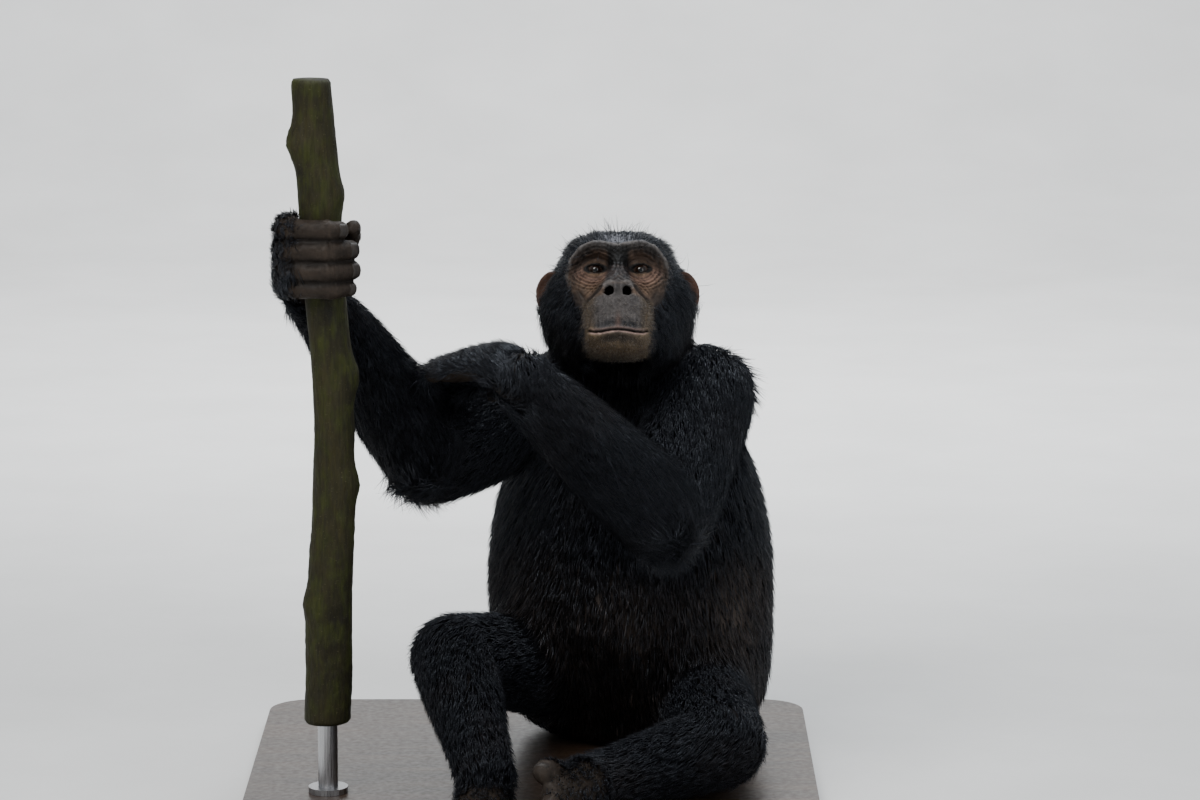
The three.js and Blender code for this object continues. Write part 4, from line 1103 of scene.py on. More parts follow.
def coat_of_head(s):
    """The head's share at each point, its hair's length there, and what part of its hair grows."""
    H, hair = s.head, HEAD_HAIR
    edge = face_edge(H)
    over_brow = smooth(30, 12, np.abs(H[:, 1])) * smooth(36, 44, H[:, 2]) * smooth(-25, 20, H[:, 0])
    ruff = smooth(20, -30, H[:, 2]) * smooth(40, 62, np.abs(H[:, 1]))
    length = lerp(hair["at_face"], hair["behind"], smooth(0, 30, edge))
    length = length + hair["ruff"] * ruff * smooth(0, 14, edge)
    length *= 1 - hair["brow_shorter"] * over_brow
    return s.weights[:, -1], length, smooth(-2, 7, edge) * (1 - hair["brow_thinner"] * over_brow)


def bare_skin_of_hands(s, density):
    """The density thinned out on palms, soles and the far joints of fingers and toes."""
    for name, way in BACKS.items():
        facing = smooth(-0.45, 0.1, s.N @ unit(way))
        reach = smooth(1.0, 0.55, s.place[:, LABELS.index(name)])
        density *= lerp(1, facing * (0.4 + 0.6 * reach), np.clip(s.of(name) * 1.4, 0, 1))
    at_crook = np.linalg.norm(s.P - AT["elbow_r"], axis=1) < LAST_HAIR["crook_reach"]
    reach = s.reach + 0.08 * noise(s.P, 7, 45) - LAST_HAIR["less"] * at_crook
    past_knuckle = smooth(LAST_HAIR["from"], LAST_HAIR["to"], reach)
    return density * ((1 - s.digit * past_knuckle) * (1 - s.ear) * (1 + 0.6 * s.digit))


def coat_run(s, on_head):
    """The way that the hair lies at each point, along the skin."""
    run = np.einsum("nk,nkc->nc", s.weights, s.run)
    fall = s.P - vec(*AT["chest"][:2], 0)
    fall[:, 2] = -FALL["drop"]
    run += FALL["share"] * (1 - on_head)[:, None] * unit(fall)
    swirl = np.stack([noise(s.P, SWIRL["wide"], seed) for seed in SWIRL["seeds"]], 1)
    run = run + SWIRL["share"] * swirl
    run -= (run * s.N).sum(1, keepdims=True) * s.N
    return unit(run)


# What the thin coat of the belly and of the right elbow's crook lacks of density, length and width.
THIN_FRONT = {"density": 0.62, "length": 0.25, "width": 0.3}
THIN_CROOK = 0.75
# The coat is denser round the wrists and hangs longer under the elbows, as (how much more, how far round).
WRISTS = (0.8, 42)
ELBOWS = (0.45, 75)


def coat_plan(s):
    """The density, length, width and run of the coat at surveyed points."""
    on_head, head_length, grown = coat_of_head(s)
    front, up = bare_front(s), s.N[:, 2]
    seat = smooth(-0.3, -0.75, up) * smooth(10, 3, s.P[:, 2])
    density = s.mix("density") * lerp(1, grown, on_head)
    density *= (1 - THIN_FRONT["density"] * front) * (1 - THIN_CROOK * bare_crook(s))
    density = bare_skin_of_hands(s, density) * (1 - seat)
    density *= 1 + WRISTS[0] * round_joints(s, ("wrist_l", "wrist_r"), WRISTS[1])
    length = lerp(s.mix("length"), head_length, on_head) * (1 - THIN_FRONT["length"] * front)
    length *= 1 + ELBOWS[0] * round_joints(s, ("elbow_l", "elbow_r"), ELBOWS[1]) * smooth(0.3, -0.5, up)
    width = s.mix("width") * (1 - THIN_FRONT["width"] * front)
    return density, length, width, coat_run(s, on_head)


def sample_skin(skin, count, rng):
    """Random places on the skin, thicker where the coat is."""
    mesh = skin.data
    mesh.calc_loop_triangles()
    tris = np.empty(len(mesh.loop_triangles) * 3, np.int32)
    mesh.loop_triangles.foreach_get("vertices", tris)
    tris = tris.reshape(-1, 3)
    P, N = points_of(skin), normals_of(skin)
    a, b, c = (P[tris[:, k]] for k in range(3))
    area = 0.5 * np.linalg.norm(np.cross(b - a, c - a), axis=1)
    density = np.clip(coat_plan(Survey((a + b + c) / 3, unit(N[tris].sum(1))))[0], 0, None)
    chance = area * density
    pick = np.sort(rng.choice(len(tris), count, p=chance / chance.sum()))
    share = rng.random((count, 2))
    flip = share.sum(1) > 1
    share[flip] = 1 - share[flip]
    roots = a[pick] + share[:, :1] * (b - a)[pick] + share[:, 1:] * (c - a)[pick]
    w = np.stack([1 - share.sum(1), share[:, 0], share[:, 1]], 1)
    normals = unit((N[tris[pick]] * w[:, :, None]).sum(1))
    return roots, normals


PIECE_TUFTS = 19000
TUFTS = {
    "count": 140000, "seed": 7, "sunk": 1.5, "rise": 0.6, "fall": 0.12, "top": 14.0, "head_top": 21.0,
    "twist": 0.4, "turn": 0.15, "sway": 0.12, "top_by_length": 0.42, "most_moved": 22,
}
# How much single tufts differ in length, in how they rise, in height over the skin and in width.
VARIED = {"length": (0.72, 1.2), "rise": (0.6, 1.3), "height": (0.6, 1.2), "width": (0.8, 1.2)}
# The share of its allowed height that a tuft reaches half way and at its tip.
LIFTED = {"half_way": 0.5, "tip": 0.9}
TUFT_RING = {"root": 1.0, "half_way": 0.8, "ridge": 0.4, "bend": 0.46}
# How much the tufts differ in tone, and how many are painted brighter as glints, a painted highlight.
TUFT_TONES = (0.55, 1.45)
PAINTED_GLINTS = {"share": 0.07, "bright": 2.4}
CLUMPS = {"share": 0.06, "reach": 26.0, "half_way": 0.16, "tip": 0.5}
TUFT_FACES = np.array([
    (0, 2, 1), (0, 1, 4), (0, 4, 3), (1, 2, 5), (1, 5, 4),
    (2, 0, 3), (2, 3, 5), (3, 4, 6), (4, 5, 6), (5, 3, 6),
])
TUFT_PATCH = np.array([(-1, -1), (0, -0.6), (1, -1), (-0.8, 0), (0, 0.2), (0.8, 0), (0, 1)]) * 0.0015


def gather(roots, middle, tip, rng):
    """Draw the tips of neighbouring tufts together, so that the coat lies in small locks."""
    chosen = rng.choice(len(roots), max(1, int(len(roots) * CLUMPS["share"])), replace=False)
    tree = KDTree(len(chosen))
    for k, index in enumerate(chosen):
        tree.insert(roots[index], k)
    tree.balance()
    nearest = chosen[[tree.find(root)[1] for root in roots]]
    apart = np.linalg.norm(tip - tip[nearest], axis=1)[:, None]
    pull = smooth(CLUMPS["reach"], 0.3 * CLUMPS["reach"], apart)
    middle += CLUMPS["half_way"] * pull * (middle[nearest] - middle)
    tip += CLUMPS["tip"] * pull * (tip[nearest] - tip)


def tuft_points(roots, normals, run, length, width, top, rng):
    """The seven points of each tuft: a ring at the root, a ring half way and the tip."""
    n = len(roots)
    turn = rng.normal(0, TUFTS["turn"], n)[:, None]
    across = np.cross(run, normals)
    lie = unit(run * np.cos(turn) + across * np.sin(turn))
    across = unit(np.cross(lie, normals))
    long = (length * rng.uniform(*VARIED["length"], n))[:, None]
    rise = TUFTS["rise"] * rng.uniform(*VARIED["rise"], n)[:, None]
    start = roots - TUFTS["sunk"] * normals
    bend = TUFT_RING["bend"]
    middle = start + bend * long * unit(lie + rise * normals)
    sway = rng.normal(0, TUFTS["sway"], n)[:, None]
    tip = middle + (1 - bend) * long * unit(lie + TUFTS["fall"] * rise * normals + sway * across)
    gather(roots, middle, tip, rng)
    allowed = np.minimum(top, TUFTS["top_by_length"] * long[:, 0])
    most = TUFTS["most_moved"]
    for place, share in ((middle, LIFTED["half_way"]), (tip, LIFTED["tip"])):
        goal = allowed * share * rng.uniform(*VARIED["height"], n)
        place += np.clip(goal - field_at(place), -most, most)[:, None] * normals
    twist = rng.normal(0, TUFTS["twist"], n)[:, None]
    flat = across * np.cos(twist) + normals * np.sin(twist)
    half = 0.5 * width[:, None] * flat * rng.uniform(*VARIED["width"], n)[:, None]
    ridge = TUFT_RING["ridge"] * width[:, None] * (normals * np.cos(twist) - across * np.sin(twist))

    def ring(at, size):
        return [at - size * half, at + size * ridge, at + size * half]

    return np.stack(ring(start, TUFT_RING["root"]) + ring(middle, TUFT_RING["half_way"]) + [tip], 1)


STEM_GAP = {"radius": STEM["radius_low"] + 1.5, "left": -340, "samples": 40}


def clear_of_stem(points):
    """Points of the coat moved sideways out of the stem that the right hand holds."""
    heights = np.linspace(STEM["low"], STEM["high"], STEM_GAP["samples"])
    middles = np.array([stem_middle(z) for z in heights])
    P = points.reshape(-1, 3)
    near = np.nonzero((P[:, 0] < STEM_GAP["left"]) & (P[:, 2] > STEM["low"]))[0]
    middle = np.stack([np.interp(P[near, 2], heights, middles[:, k]) for k in (0, 1)], 1)
    away = P[near, :2] - middle
    far = np.linalg.norm(away, axis=1)
    inside = far < STEM_GAP["radius"]
    out = away[inside] / far[inside, None] * STEM_GAP["radius"]
    P[near[inside], :2] = middle[inside] + out
    return P.reshape(points.shape)


def tuft_piece(name, points, uv, tint, material):
    """One piece of the coat from the points of its tufts."""
    count = len(points)
    faces = (np.arange(count)[:, None, None] * 7 + TUFT_FACES).reshape(-1, 3)
    P = points.reshape(-1, 3)
    P[:, 2] = np.maximum(P[:, 2], HAIR_FLOOR)
    piece = large_piece(name, P, faces, material)
    layer = piece.data.uv_layers.new(name="OFBake")
    corner_uv = (uv[:, None, :] + TUFT_PATCH).reshape(-1, 2)[faces.ravel()]
    layer.data.foreach_set("uv", np.clip(corner_uv, 0, 1).astype(np.float32).ravel())
    set_tones(piece, np.repeat(tint, 7, axis=0))
    set_values(piece, "along", np.tile([0, 0, 0, 0.5, 0.5, 0.5, 1.0], count))


def build_coat(skin, material):
    rng = np.random.default_rng(TUFTS["seed"])
    roots, normals = sample_skin(skin, TUFTS["count"], rng)
    s = Survey(roots, normals)
    length, width, run = coat_plan(s)[1:]
    top = lerp(TUFTS["top"], TUFTS["head_top"], s.weights[:, -1])
    points = clear_of_stem(tuft_points(roots, normals, run, length, width, top, rng))
    # Painted highlight: some tufts get a brighter colour as glints.
    painted_glint = np.where(rng.random(len(roots)) < PAINTED_GLINTS["share"], PAINTED_GLINTS["bright"], 1.0)
    tint = coat_colour(s) * (painted_glint * rng.uniform(*TUFT_TONES, len(roots)))[:, None]
    uv = s.unwrap()
    names = np.array([PIECE_OF[LABELS[k]] for k in s.label])
    for name in sorted(set(names)):
        mine = np.nonzero(names == name)[0]
        mine = mine[np.argsort(roots[mine, 2])]
        groups = np.array_split(mine, math.ceil(len(mine) / PIECE_TUFTS))
        for k, group in enumerate(groups):
            tuft_piece(f"coat_{name}_{k + 1}", points[group], uv[group], tint[group], material)


# Short pale bristles on the muzzle and chin, and single long hairs over the brow and crown.
BRISTLES = {"count": 3400, "seed": 11, "width": 0.27, "length": (2.5, 6.0)}
STRAYS = {"count": 190, "seed": 13, "width": 0.4, "length": (18.0, 34.0)}
LOOSE = {
    "head_reach": 160, "apart": 0.6, "astray": 0.25, "sunk": 0.8, "ridge": 0.8, "rise": 0.25, "sway": 0.3,
}


def loose_hairs(name, skin, kind, weight_of, run_of, colour_of, material):
    """Thin single hairs where a weight of the head's points says."""
    rng = np.random.default_rng(kind["seed"])
    P, N = points_of(skin), normals_of(skin)
    near = np.nonzero(np.linalg.norm(to_head(P), axis=1) < LOOSE["head_reach"])[0]
    H = to_head(P[near])
    weight = weight_of(H, N[near])
    chosen = near[rng.choice(len(near), kind["count"], p=weight / weight.sum())]
    roots = P[chosen] + rng.normal(0, LOOSE["apart"], (len(chosen), 3))
    normals = N[chosen]
    length = rng.uniform(*kind["length"], len(chosen))[:, None]
    run = run_of(to_head(roots), normals) + rng.normal(0, LOOSE["astray"], (len(chosen), 3))
    across = unit(np.cross(run, normals))
    middle = roots + 0.5 * length * unit(run + LOOSE["rise"] * normals)
    sway = LOOSE["sway"] * across * rng.normal(0, 1, (len(chosen), 1))
    tip = middle + 0.5 * length * unit(run + sway)
    half = 0.5 * kind["width"] * across
    ridge = LOOSE["ridge"] * kind["width"] * unit(np.cross(across, run))
    start = roots - LOOSE["sunk"] * normals
    rings = [start - half, start + ridge, start + half, middle - half, middle + ridge, middle + half, tip]
    s = Survey(roots, normals)
    tuft_piece(name, np.stack(rings, 1), s.unwrap(), colour_of(to_head(roots), rng), material)


def bristle_weight(H, N):
    l, u = np.abs(H[:, 1]), H[:, 2]
    up = over_mouth(l, u)
    muzzle = smooth(52, 44, l) * smooth(-36, -46, u) * smooth(30, 50, H[:, 0])
    chin = smooth(-3, -8, up) * (0.7 + 1.6 * smooth(-22, -34, up))
    lip = smooth(3, 9, up) * (0.35 + 0.8 * smooth(20, 42, l))
    return muzzle * (chin + lip) * smooth(-0.6, 0, N @ FORE) + 1e-9


def bristle_run(H, N):
    down = -OVER + 0.35 * FORE
    return unit(down + 0.5 * to_side(H) + 0.55 * N)


def bristle_colour(H, rng):
    return HAIR["pale"] * rng.uniform(0.25, 1.25, len(H))[:, None]


def stray_weight(H, N):
    l, u = np.abs(H[:, 1]), H[:, 2]
    crown = smooth(46, 52, u) * smooth(-30, 20, H[:, 0])
    sides = smooth(60, 70, l) * smooth(-70, -20, u) * smooth(30, 0, H[:, 0]) * 0.35
    brow = bump(to_line(l, u, BROW_LINE)[0], 6, 2.5) * smooth(30, 50, H[:, 0]) * 0.5
    return crown + sides + brow + 1e-9


def stray_run(H, N):
    return unit(N + 0.25 * OVER - 0.35 * FORE + 0.25 * to_side(H))


def stray_colour(H, rng):
    return np.tile(HAIR["black"], (len(H), 1)) * rng.uniform(0.7, 1.2, len(H))[:, None]


# Colours of the skin and the coat, as linear red, green and blue.
SKIN = {
    "under_coat": vec(0.016, 0.014, 0.014), "belly": vec(0.062, 0.049, 0.042),
    "ear": vec(0.075, 0.042, 0.031),
    "hand": vec(0.021, 0.0155, 0.0115), "tan": vec(0.108, 0.071, 0.047), "pink": vec(0.122, 0.074, 0.058),
    # rim: a painted highlight, the lit top edge of the brow ridge and of the nose's wings.
    "grey": vec(0.016, 0.016, 0.018), "black": vec(0.0065, 0.006, 0.006), "rim": vec(0.064, 0.060, 0.058),
    "muzzle": vec(0.053, 0.049, 0.048), "chin": vec(0.078, 0.058, 0.037), "lip": vec(0.23, 0.16, 0.14),
    # nostril: painted shade for the inside of the nostrils.
    "mouth": vec(0.012, 0.008, 0.008), "nostril": vec(0.003, 0.0025, 0.0025),
    # forehead: grey skin lightened with a painted sheen.
    "forehead": vec(0.088, 0.093, 0.108),
}
HAIR = {
    "black": vec(0.0048, 0.0048, 0.0060), "brown": vec(0.022, 0.017, 0.014), "pale": vec(0.135, 0.112, 0.085),
}
DARKEST = 0.002


def blend_to(base, colour, share):
    return base + (colour - base) * share[:, None]


def painted(tone, layers):
    """A colour with layers over it, each given as (name, how bright, share)."""
    for name, bright, share in layers:
        tone = blend_to(tone, SKIN[name] * bright, share)
    return tone


def face_layers(m, wide, fine):
    """The markings of the face over its tan skin, in the order that they are laid on, with painted shade
    under the brow, in the eye sockets, in the muzzle's fold, in the nostrils and round the eye openings, and
    painted highlights on the edges of the brow and the nose's wings.
    """
    around_eye = np.hypot(m.dl / 1.25, m.du)
    # Painted shade under the brow ridge.
    painted_brow_shade = smooth(-17, -5, m.ridge + 2 * fine) * (0.95 - 0.3 * smooth(0.5, 0.9, m.brow_share))
    bridge = smooth(19, 11, m.l - 0.16 * np.abs(m.u - 8)) * smooth(-22, -16, m.u)
    muzzle = smooth(49, 43, m.l) * smooth(-27, -35, m.u + 0.12 * m.l)
    below_eye = 0.5 + 0.5 * smooth(6, -4, m.du)
    cheeks = [
        ("pink", 1, 0.7 * smooth(32, 17, around_eye) * smooth(9, 13, around_eye) * below_eye),
        ("black", 2, 0.85 * smooth(-6, -28, m.u) * smooth(36, 50, m.l + 3 * wide)),
    ]
    brow = [
        # Painted shade under the brow ridge.
        ("black", 1, painted_brow_shade),
        # A painted highlight along the top edge of the brow ridge.
        ("rim", 1, bump(m.ridge, 5.2 + 1.2 * fine, 2.4) * smooth(0, 0.2, m.brow_share + 0.1)),
        ("black", 0.4, smooth(19, 11, m.l) * smooth(0, 12, m.u + fine) * smooth(41, 34, m.u)),
        ("grey", 0.75, bridge * smooth(16, 4, m.u) * (0.9 + 0.1 * fine)),
        ("muzzle", 0.66, smooth(24, 14, m.l) * smooth(-14, -22, m.u)),
    ]
    mouth = [
        # Painted shade along the fold beside the muzzle.
        ("grey", 1, 0.7 * bump(m.fold, 0, 6)),
        ("muzzle", 1, muzzle),
        ("chin", 0.9, muzzle * smooth(24, 40, m.l + 4 * wide)),
        ("grey", 0.8, muzzle * 0.9 * bump(m.up, 9, 6.5) * smooth(38, 24, m.l) * (1 + 0.4 * fine)),
        ("pink", 1, 0.5 * bump(m.l, 0, 3.4) * bump(m.up, 10, 11)),
        ("chin", 1, smooth(0, -6, m.up)),
        ("grey", 1, 0.6 * bump(m.up, -9, 6) * smooth(36, 12, m.l)),
        ("grey", 0.7, 0.5 * bump(m.l, 0, 11) * bump(m.up, -3, 3)),
        ("lip", 1, 0.85 * bump(m.up, -2.2, 1.3) * smooth(40, 34, m.l) * smooth(0, 12, m.l + 5)),
        ("lip", 0.6, 0.5 * bump(m.up, 2.6, 1.6) * smooth(42, 30, m.l)),
        ("mouth", 1, bump(m.mouth, 0, 1.0) * smooth(1, 0.93, m.mouth_share)),
    ]
    wing_edge = bump(m.wing, NOSE_WING["edge"], 0.25)
    (at_f, at_l, at_u), (deep, across, high) = NOSTRIL["at"], NOSTRIL["size"]
    flat = ((m.l - at_l) / across) ** 2 + ((m.u - at_u) / high) ** 2
    hole = np.sqrt(flat + ((m.f - at_f - 1) / deep) ** 2)
    opening = np.hypot(m.dl / EYE["half_wide"], m.du / EYE["half_high"])
    openings = [
        # A painted highlight on the top edge of the nose's wings.
        ("rim", 1.15, 0.7 * wing_edge * smooth(-26, -20, m.u) * smooth(5, 9, m.l)),
        # Painted shade inside the nostrils.
        ("nostril", 1, smooth(1.08, 0.85, hole)),
        # The lids' dark edges round the eye opening, deepened with painted shade.
        ("black", 0.8, smooth(1.5, 1.15, opening)),
    ]
    # Painted shade in the eye sockets, darkest on the upper lids under the brow.
    socket = smooth(24, 14, around_eye) * smooth(-2, 8, m.du + fine)
    return cheeks, socket, brow + mouth + openings, muzzle


def face_colour(H, N):
    m = FaceMap(H)
    wide = noise(H, 16, 51)
    fine = noise(H, 4, 52)
    speckle = np.clip(noise(H, 1.5, 53), -1, 1)
    cheeks, socket, markings, muzzle = face_layers(m, wide, fine)
    tone = np.tile(SKIN["tan"], (len(H), 1)) * (1 + 0.2 * wide + 0.1 * fine)[:, None]
    # The sockets are darkened with painted shade.
    tone = painted(tone, cheeks) * (1 - 0.62 * socket)[:, None]
    tone = painted(tone, markings)
    tone *= 1 + (0.16 + 0.2 * muzzle * smooth(-20, -40, m.u))[:, None] * speckle[:, None]
    # Painted shade in the grooves of the face's relief and painted highlight on its raised parts.
    painted_relief_shading = np.clip(face_relief(H, N), -1.6, 0.8)
    return tone * (1 + 0.34 * painted_relief_shading)[:, None]


def skin_colour(s):
    P, H = s.P, s.head
    tone = np.tile(SKIN["under_coat"], (len(P), 1))
    tone = blend_to(tone, SKIN["belly"], bare_front(s))
    tone = blend_to(tone, SKIN["tan"] * 0.9, bare_crook(s))
    hands = np.clip(s.of("palm_l", "palm_r", "foot_l", "foot_r") + s.digit, 0, 1)
    tone = blend_to(tone, SKIN["hand"], hands)
    knuckle = s.digit * (bump(s.reach, 0.42, 0.1) + 0.6 * bump(s.reach, 0.8, 0.07))
    tone = blend_to(tone, SKIN["hand"] * 2.1, 0.5 * knuckle * (0.7 + 0.5 * noise(P, 5, 65)))
    tone *= (1 + hands * (0.22 * noise(P, 12, 61) + 0.18 * noise(P, 3, 62)))[:, None]
    # Painted shade between the fingers and toes.
    tone *= (1 - 0.65 * hands * s.cleft_shade)[:, None]
    on_head = s.weights[:, -1] * smooth(-20, 12, H[:, 0])
    # The bare forehead's grey skin, lightened with a painted sheen.
    tone = blend_to(tone, SKIN["forehead"], on_head * smooth(38, 46, H[:, 2]))
    inside = smooth(6, -3, face_edge(H)) * smooth(0.4, 0.7, s.weights[:, -1])
    tone += (face_colour(H, s.N) - tone) * inside[:, None]
    tone = blend_to(tone, SKIN["ear"] * (1 + 0.2 * noise(P, 9, 63)[:, None]), s.ear)
    return np.clip(tone, DARKEST, 1)


def coat_colour(s):
    tone = np.tile(HAIR["black"], (len(s.P), 1)) * (1 + 0.2 * noise(s.P, 45, 71))[:, None]
    tone = blend_to(tone, HAIR["brown"], np.clip(bare_front(s) + 0.25 * noise(s.P, 60, 72), 0, 1))
    return np.clip(tone, DARKEST, 1)


class Shading:
    """A node material under construction."""

    MIX_INPUTS = {"share": 0, "first": 6, "second": 7}
    MIX_OUTPUT = 2

    def __init__(self, name):
        self.material = bpy.data.materials.new(name)
        self.material.use_nodes = True
        self.tree = self.material.node_tree
        self.shader = self.tree.nodes["Principled BSDF"]

    def feed(self, socket, item):
        """Link a socket to what another node gives, or set it to a number or a colour."""
        if isinstance(item, bpy.types.NodeSocket):
            self.tree.links.new(item, socket)
        else:
            socket.default_value = (*item, 1) if socket.type == "RGBA" else item

    def node(self, kind, **values):
        """A new node's outputs. The values are its inputs, by name, and its settings."""
        made = self.tree.nodes.new("ShaderNode" + kind)
        for key, item in values.items():
            name = key.replace("_", " ")
            if name in made.inputs:
                self.feed(made.inputs[name], item)
            else:
                setattr(made, key, item)
        return made.outputs

    def attribute(self, name, output="Fac"):
        return self.node("Attribute", attribute_name=name)[output]

    def place(self, stretch):
        """The object's own coordinates, in metres, stretched along each axis."""
        return self.node("Mapping", Scale=stretch, Vector=self.node("TexCoord")["Object"])["Vector"]

    def noise(self, per_metre, detail=3, stretch=(1, 1, 1), rough=0.55):
        place = self.place(stretch)
        return self.node("TexNoise", Vector=place, Scale=per_metre, Detail=detail, Roughness=rough)["Fac"]

    def cracks(self, per_metre, stretch=(1, 1, 1)):
        place = self.place(stretch)
        return self.node("TexVoronoi", feature="DISTANCE_TO_EDGE", Vector=place, Scale=per_metre)["Distance"]

    def spread(self, value, low, high, into_low, into_high):
        """A value between two limits, spread between two others."""
        limits = {"From_Min": low, "From_Max": high, "To_Min": into_low, "To_Max": into_high}
        return self.node("MapRange", Value=value, **limits)["Result"]

    def ramp(self, value, stops):
        """Colours by a value, from stops of (value, colour), where one number stands for a grey."""
        made = self.tree.nodes.new("ShaderNodeValToRGB")
        elements = made.color_ramp.elements
        while len(elements) < len(stops):
            elements.new(0.5)
        for element, (place, colour) in zip(elements, stops):
            element.position = place
            element.color = (*colour, 1) if isinstance(colour, tuple) else (colour, colour, colour, 1)
        self.feed(made.inputs["Fac"], value)
        return made.outputs["Color"]

    def mix(self, first, second, share, way="MIX"):
        """Two colours mixed by a share."""
        made = self.tree.nodes.new("ShaderNodeMix")
        made.data_type = "RGBA"
        made.blend_type = way
        for key, item in (("share", share), ("first", first), ("second", second)):
            self.feed(made.inputs[self.MIX_INPUTS[key]], item)
        return made.outputs[self.MIX_OUTPUT]

    def times(self, first, *others):
        """A colour multiplied by others."""
        for other in others:
            first = self.mix(first, other, 1.0, "MULTIPLY")
        return first

    def finish(self, colour, rough, bumps=(), **constants):
        """The material, with its bumps in layers of (height, metres, strength)."""
        layer = {}
        for height, metres, strength in bumps:
            bump_node = self.node("Bump", Height=height, Distance=metres, Strength=strength, **layer)
            layer["Normal"] = bump_node["Normal"]
        for key, item in {"Base_Color": colour, "Roughness": rough, **layer, **constants}.items():
            self.feed(self.shader.inputs[key.replace("_", " ")], item)
        return self.material


def skin_material():
    m = Shading("skin")
    blotches = m.ramp(m.noise(70, 4), [(0.3, (0.78, 0.76, 0.76)), (0.7, (1.15, 1.12, 1.1))])
    pores = m.ramp(m.noise(900, 2), [(0.35, 0.8), (0.6, 1.08)])
    colour = m.times(m.attribute("tone", "Color"), blotches, pores)
    creases = m.spread(m.cracks(420), 0, 0.18, 0, 1)
    rough = m.spread(m.noise(160, 2), 0.3, 0.7, 0.46, 0.64)
    bumps = [(creases, 0.0004, 0.35), (m.noise(1100, 2), 0.0003, 0.45), (m.noise(240, 3), 0.0008, 0.35)]
    return m.finish(colour, rough, bumps, Specular_IOR_Level=0.15)


def coat_material():
    m = Shading("coat")
    # The tufts are darker at the root and lighter at the tip: painted shade deep in the coat and a painted
    # sheen on the tips.
    along = m.ramp(m.attribute("along"), [(0, 0.55), (0.5, 1), (1, (1.35, 1.3, 1.25))])
    patches = m.ramp(m.noise(16, 3), [(0.35, (0.82, 0.82, 0.85)), (0.65, (1.2, 1.18, 1.18))])
    colour = m.times(m.attribute("tone", "Color"), along, patches)
    rough = m.spread(m.noise(260, 2), 0.3, 0.7, 0.26, 0.42)
    return m.finish(colour, rough, Specular_IOR_Level=0.4, Specular_Tint=(0.74, 0.84, 1.0))


# The eye from its middle outward: the pupil, the iris with a dark edge, and the brown white of the eye.
EYE_RINGS = [
    (0.0, 0.002), (0.30, 0.002), (0.34, (0.012, 0.0055, 0.0025)), (0.62, (0.008, 0.0035, 0.002)),
    (0.70, (0.006, 0.003, 0.002)), (0.80, (0.020, 0.011, 0.008)), (1.0, (0.036, 0.022, 0.016)),
]


def eye_material():
    m = Shading("eye")
    specks = m.ramp(m.noise(900, 3), [(0.3, 0.6), (0.7, 1.3)])
    colour = m.times(m.ramp(m.attribute("gaze"), EYE_RINGS), specks)
    rough = m.spread(m.noise(500, 2), 0.3, 0.7, 0.08, 0.16)
    return m.finish(colour, rough, Specular_IOR_Level=0.3, Coat_Weight=0.45, Coat_Roughness=0.03)


def nail_material():
    m = Shading("nail")
    streaks = m.noise(300, 3, (1, 1, 0.3))
    colour = m.ramp(streaks, [(0.3, (0.008, 0.006, 0.005)), (0.7, (0.026, 0.020, 0.016))])
    rough = m.spread(streaks, 0.3, 0.7, 0.4, 0.55)
    return m.finish(colour, rough, [(streaks, 0.0002, 0.4)], Specular_IOR_Level=0.3)


BARK = [(0.3, (0.006, 0.0052, 0.0016)), (0.5, (0.014, 0.0125, 0.003)), (0.72, (0.022, 0.019, 0.0055))]
MOSS = (0.021, 0.025, 0.003)
LICHEN = (0.070, 0.064, 0.032)
WOOD = [(0.3, (0.020, 0.012, 0.008)), (0.55, (0.045, 0.027, 0.017)), (0.75, (0.075, 0.046, 0.029))]


def bark_material():
    m = Shading("bark")
    moss = m.ramp(m.noise(55, 5, (1, 1, 0.6)), [(0.45, 0), (0.62, 0.9)])
    streaks = m.ramp(m.noise(300, 3, (1, 1, 0.12)), [(0.35, (0.7, 0.68, 0.62)), (0.65, (1.15, 1.12, 1.0))])
    colour = m.times(m.mix(m.ramp(m.noise(22, 4, (1, 1, 0.4)), BARK), MOSS, moss), streaks)
    specks = m.ramp(m.noise(420, 2, (1, 1, 1.6)), [(0.66, 0), (0.74, 0.8)])
    grain = m.noise(190, 4, (1, 1, 0.25))
    splits = m.spread(m.cracks(120, (1, 1, 0.25)), 0, 0.1, 0, 1)
    bumps = [(splits, 0.0007, 0.35), (grain, 0.0016, 0.6), (specks, 0.0006, 0.5)]
    rough = m.spread(grain, 0.3, 0.7, 0.62, 0.85)
    return m.finish(m.mix(colour, LICHEN, specks), rough, bumps, Specular_IOR_Level=0.25)


def board_material():
    m = Shading("board")
    grain = m.noise(55, 6, (0.12, 1, 1), 0.65)
    shade = m.ramp(m.noise(9, 3, (0.2, 1, 1)), [(0.35, 0.75), (0.65, (1.2, 1.18, 1.15))])
    rough = m.spread(m.noise(120, 3), 0.3, 0.7, 0.33, 0.5)
    colour = m.times(m.ramp(grain, WOOD), shade)
    return m.finish(colour, rough, [(grain, 0.0003, 0.3)], Coat_Weight=0.25, Coat_Roughness=0.25)


def steel_material():
    m = Shading("steel")
    lines = m.noise(1600, 2, (1, 1, 0.02))
    colour = m.ramp(lines, [(0.3, (0.34, 0.34, 0.35)), (0.7, (0.50, 0.50, 0.51))])
    return m.finish(colour, m.spread(lines, 0.3, 0.7, 0.24, 0.4), [(lines, 0.00005, 0.4)], Metallic=1.0)


def floor_material():
    m = Shading("floor")
    colour = m.ramp(m.noise(3, 3), [(0.3, (0.60, 0.60, 0.59)), (0.7, (0.66, 0.66, 0.65))])
    return m.finish(colour, m.spread(m.noise(40, 3), 0.3, 0.7, 0.6, 0.75))


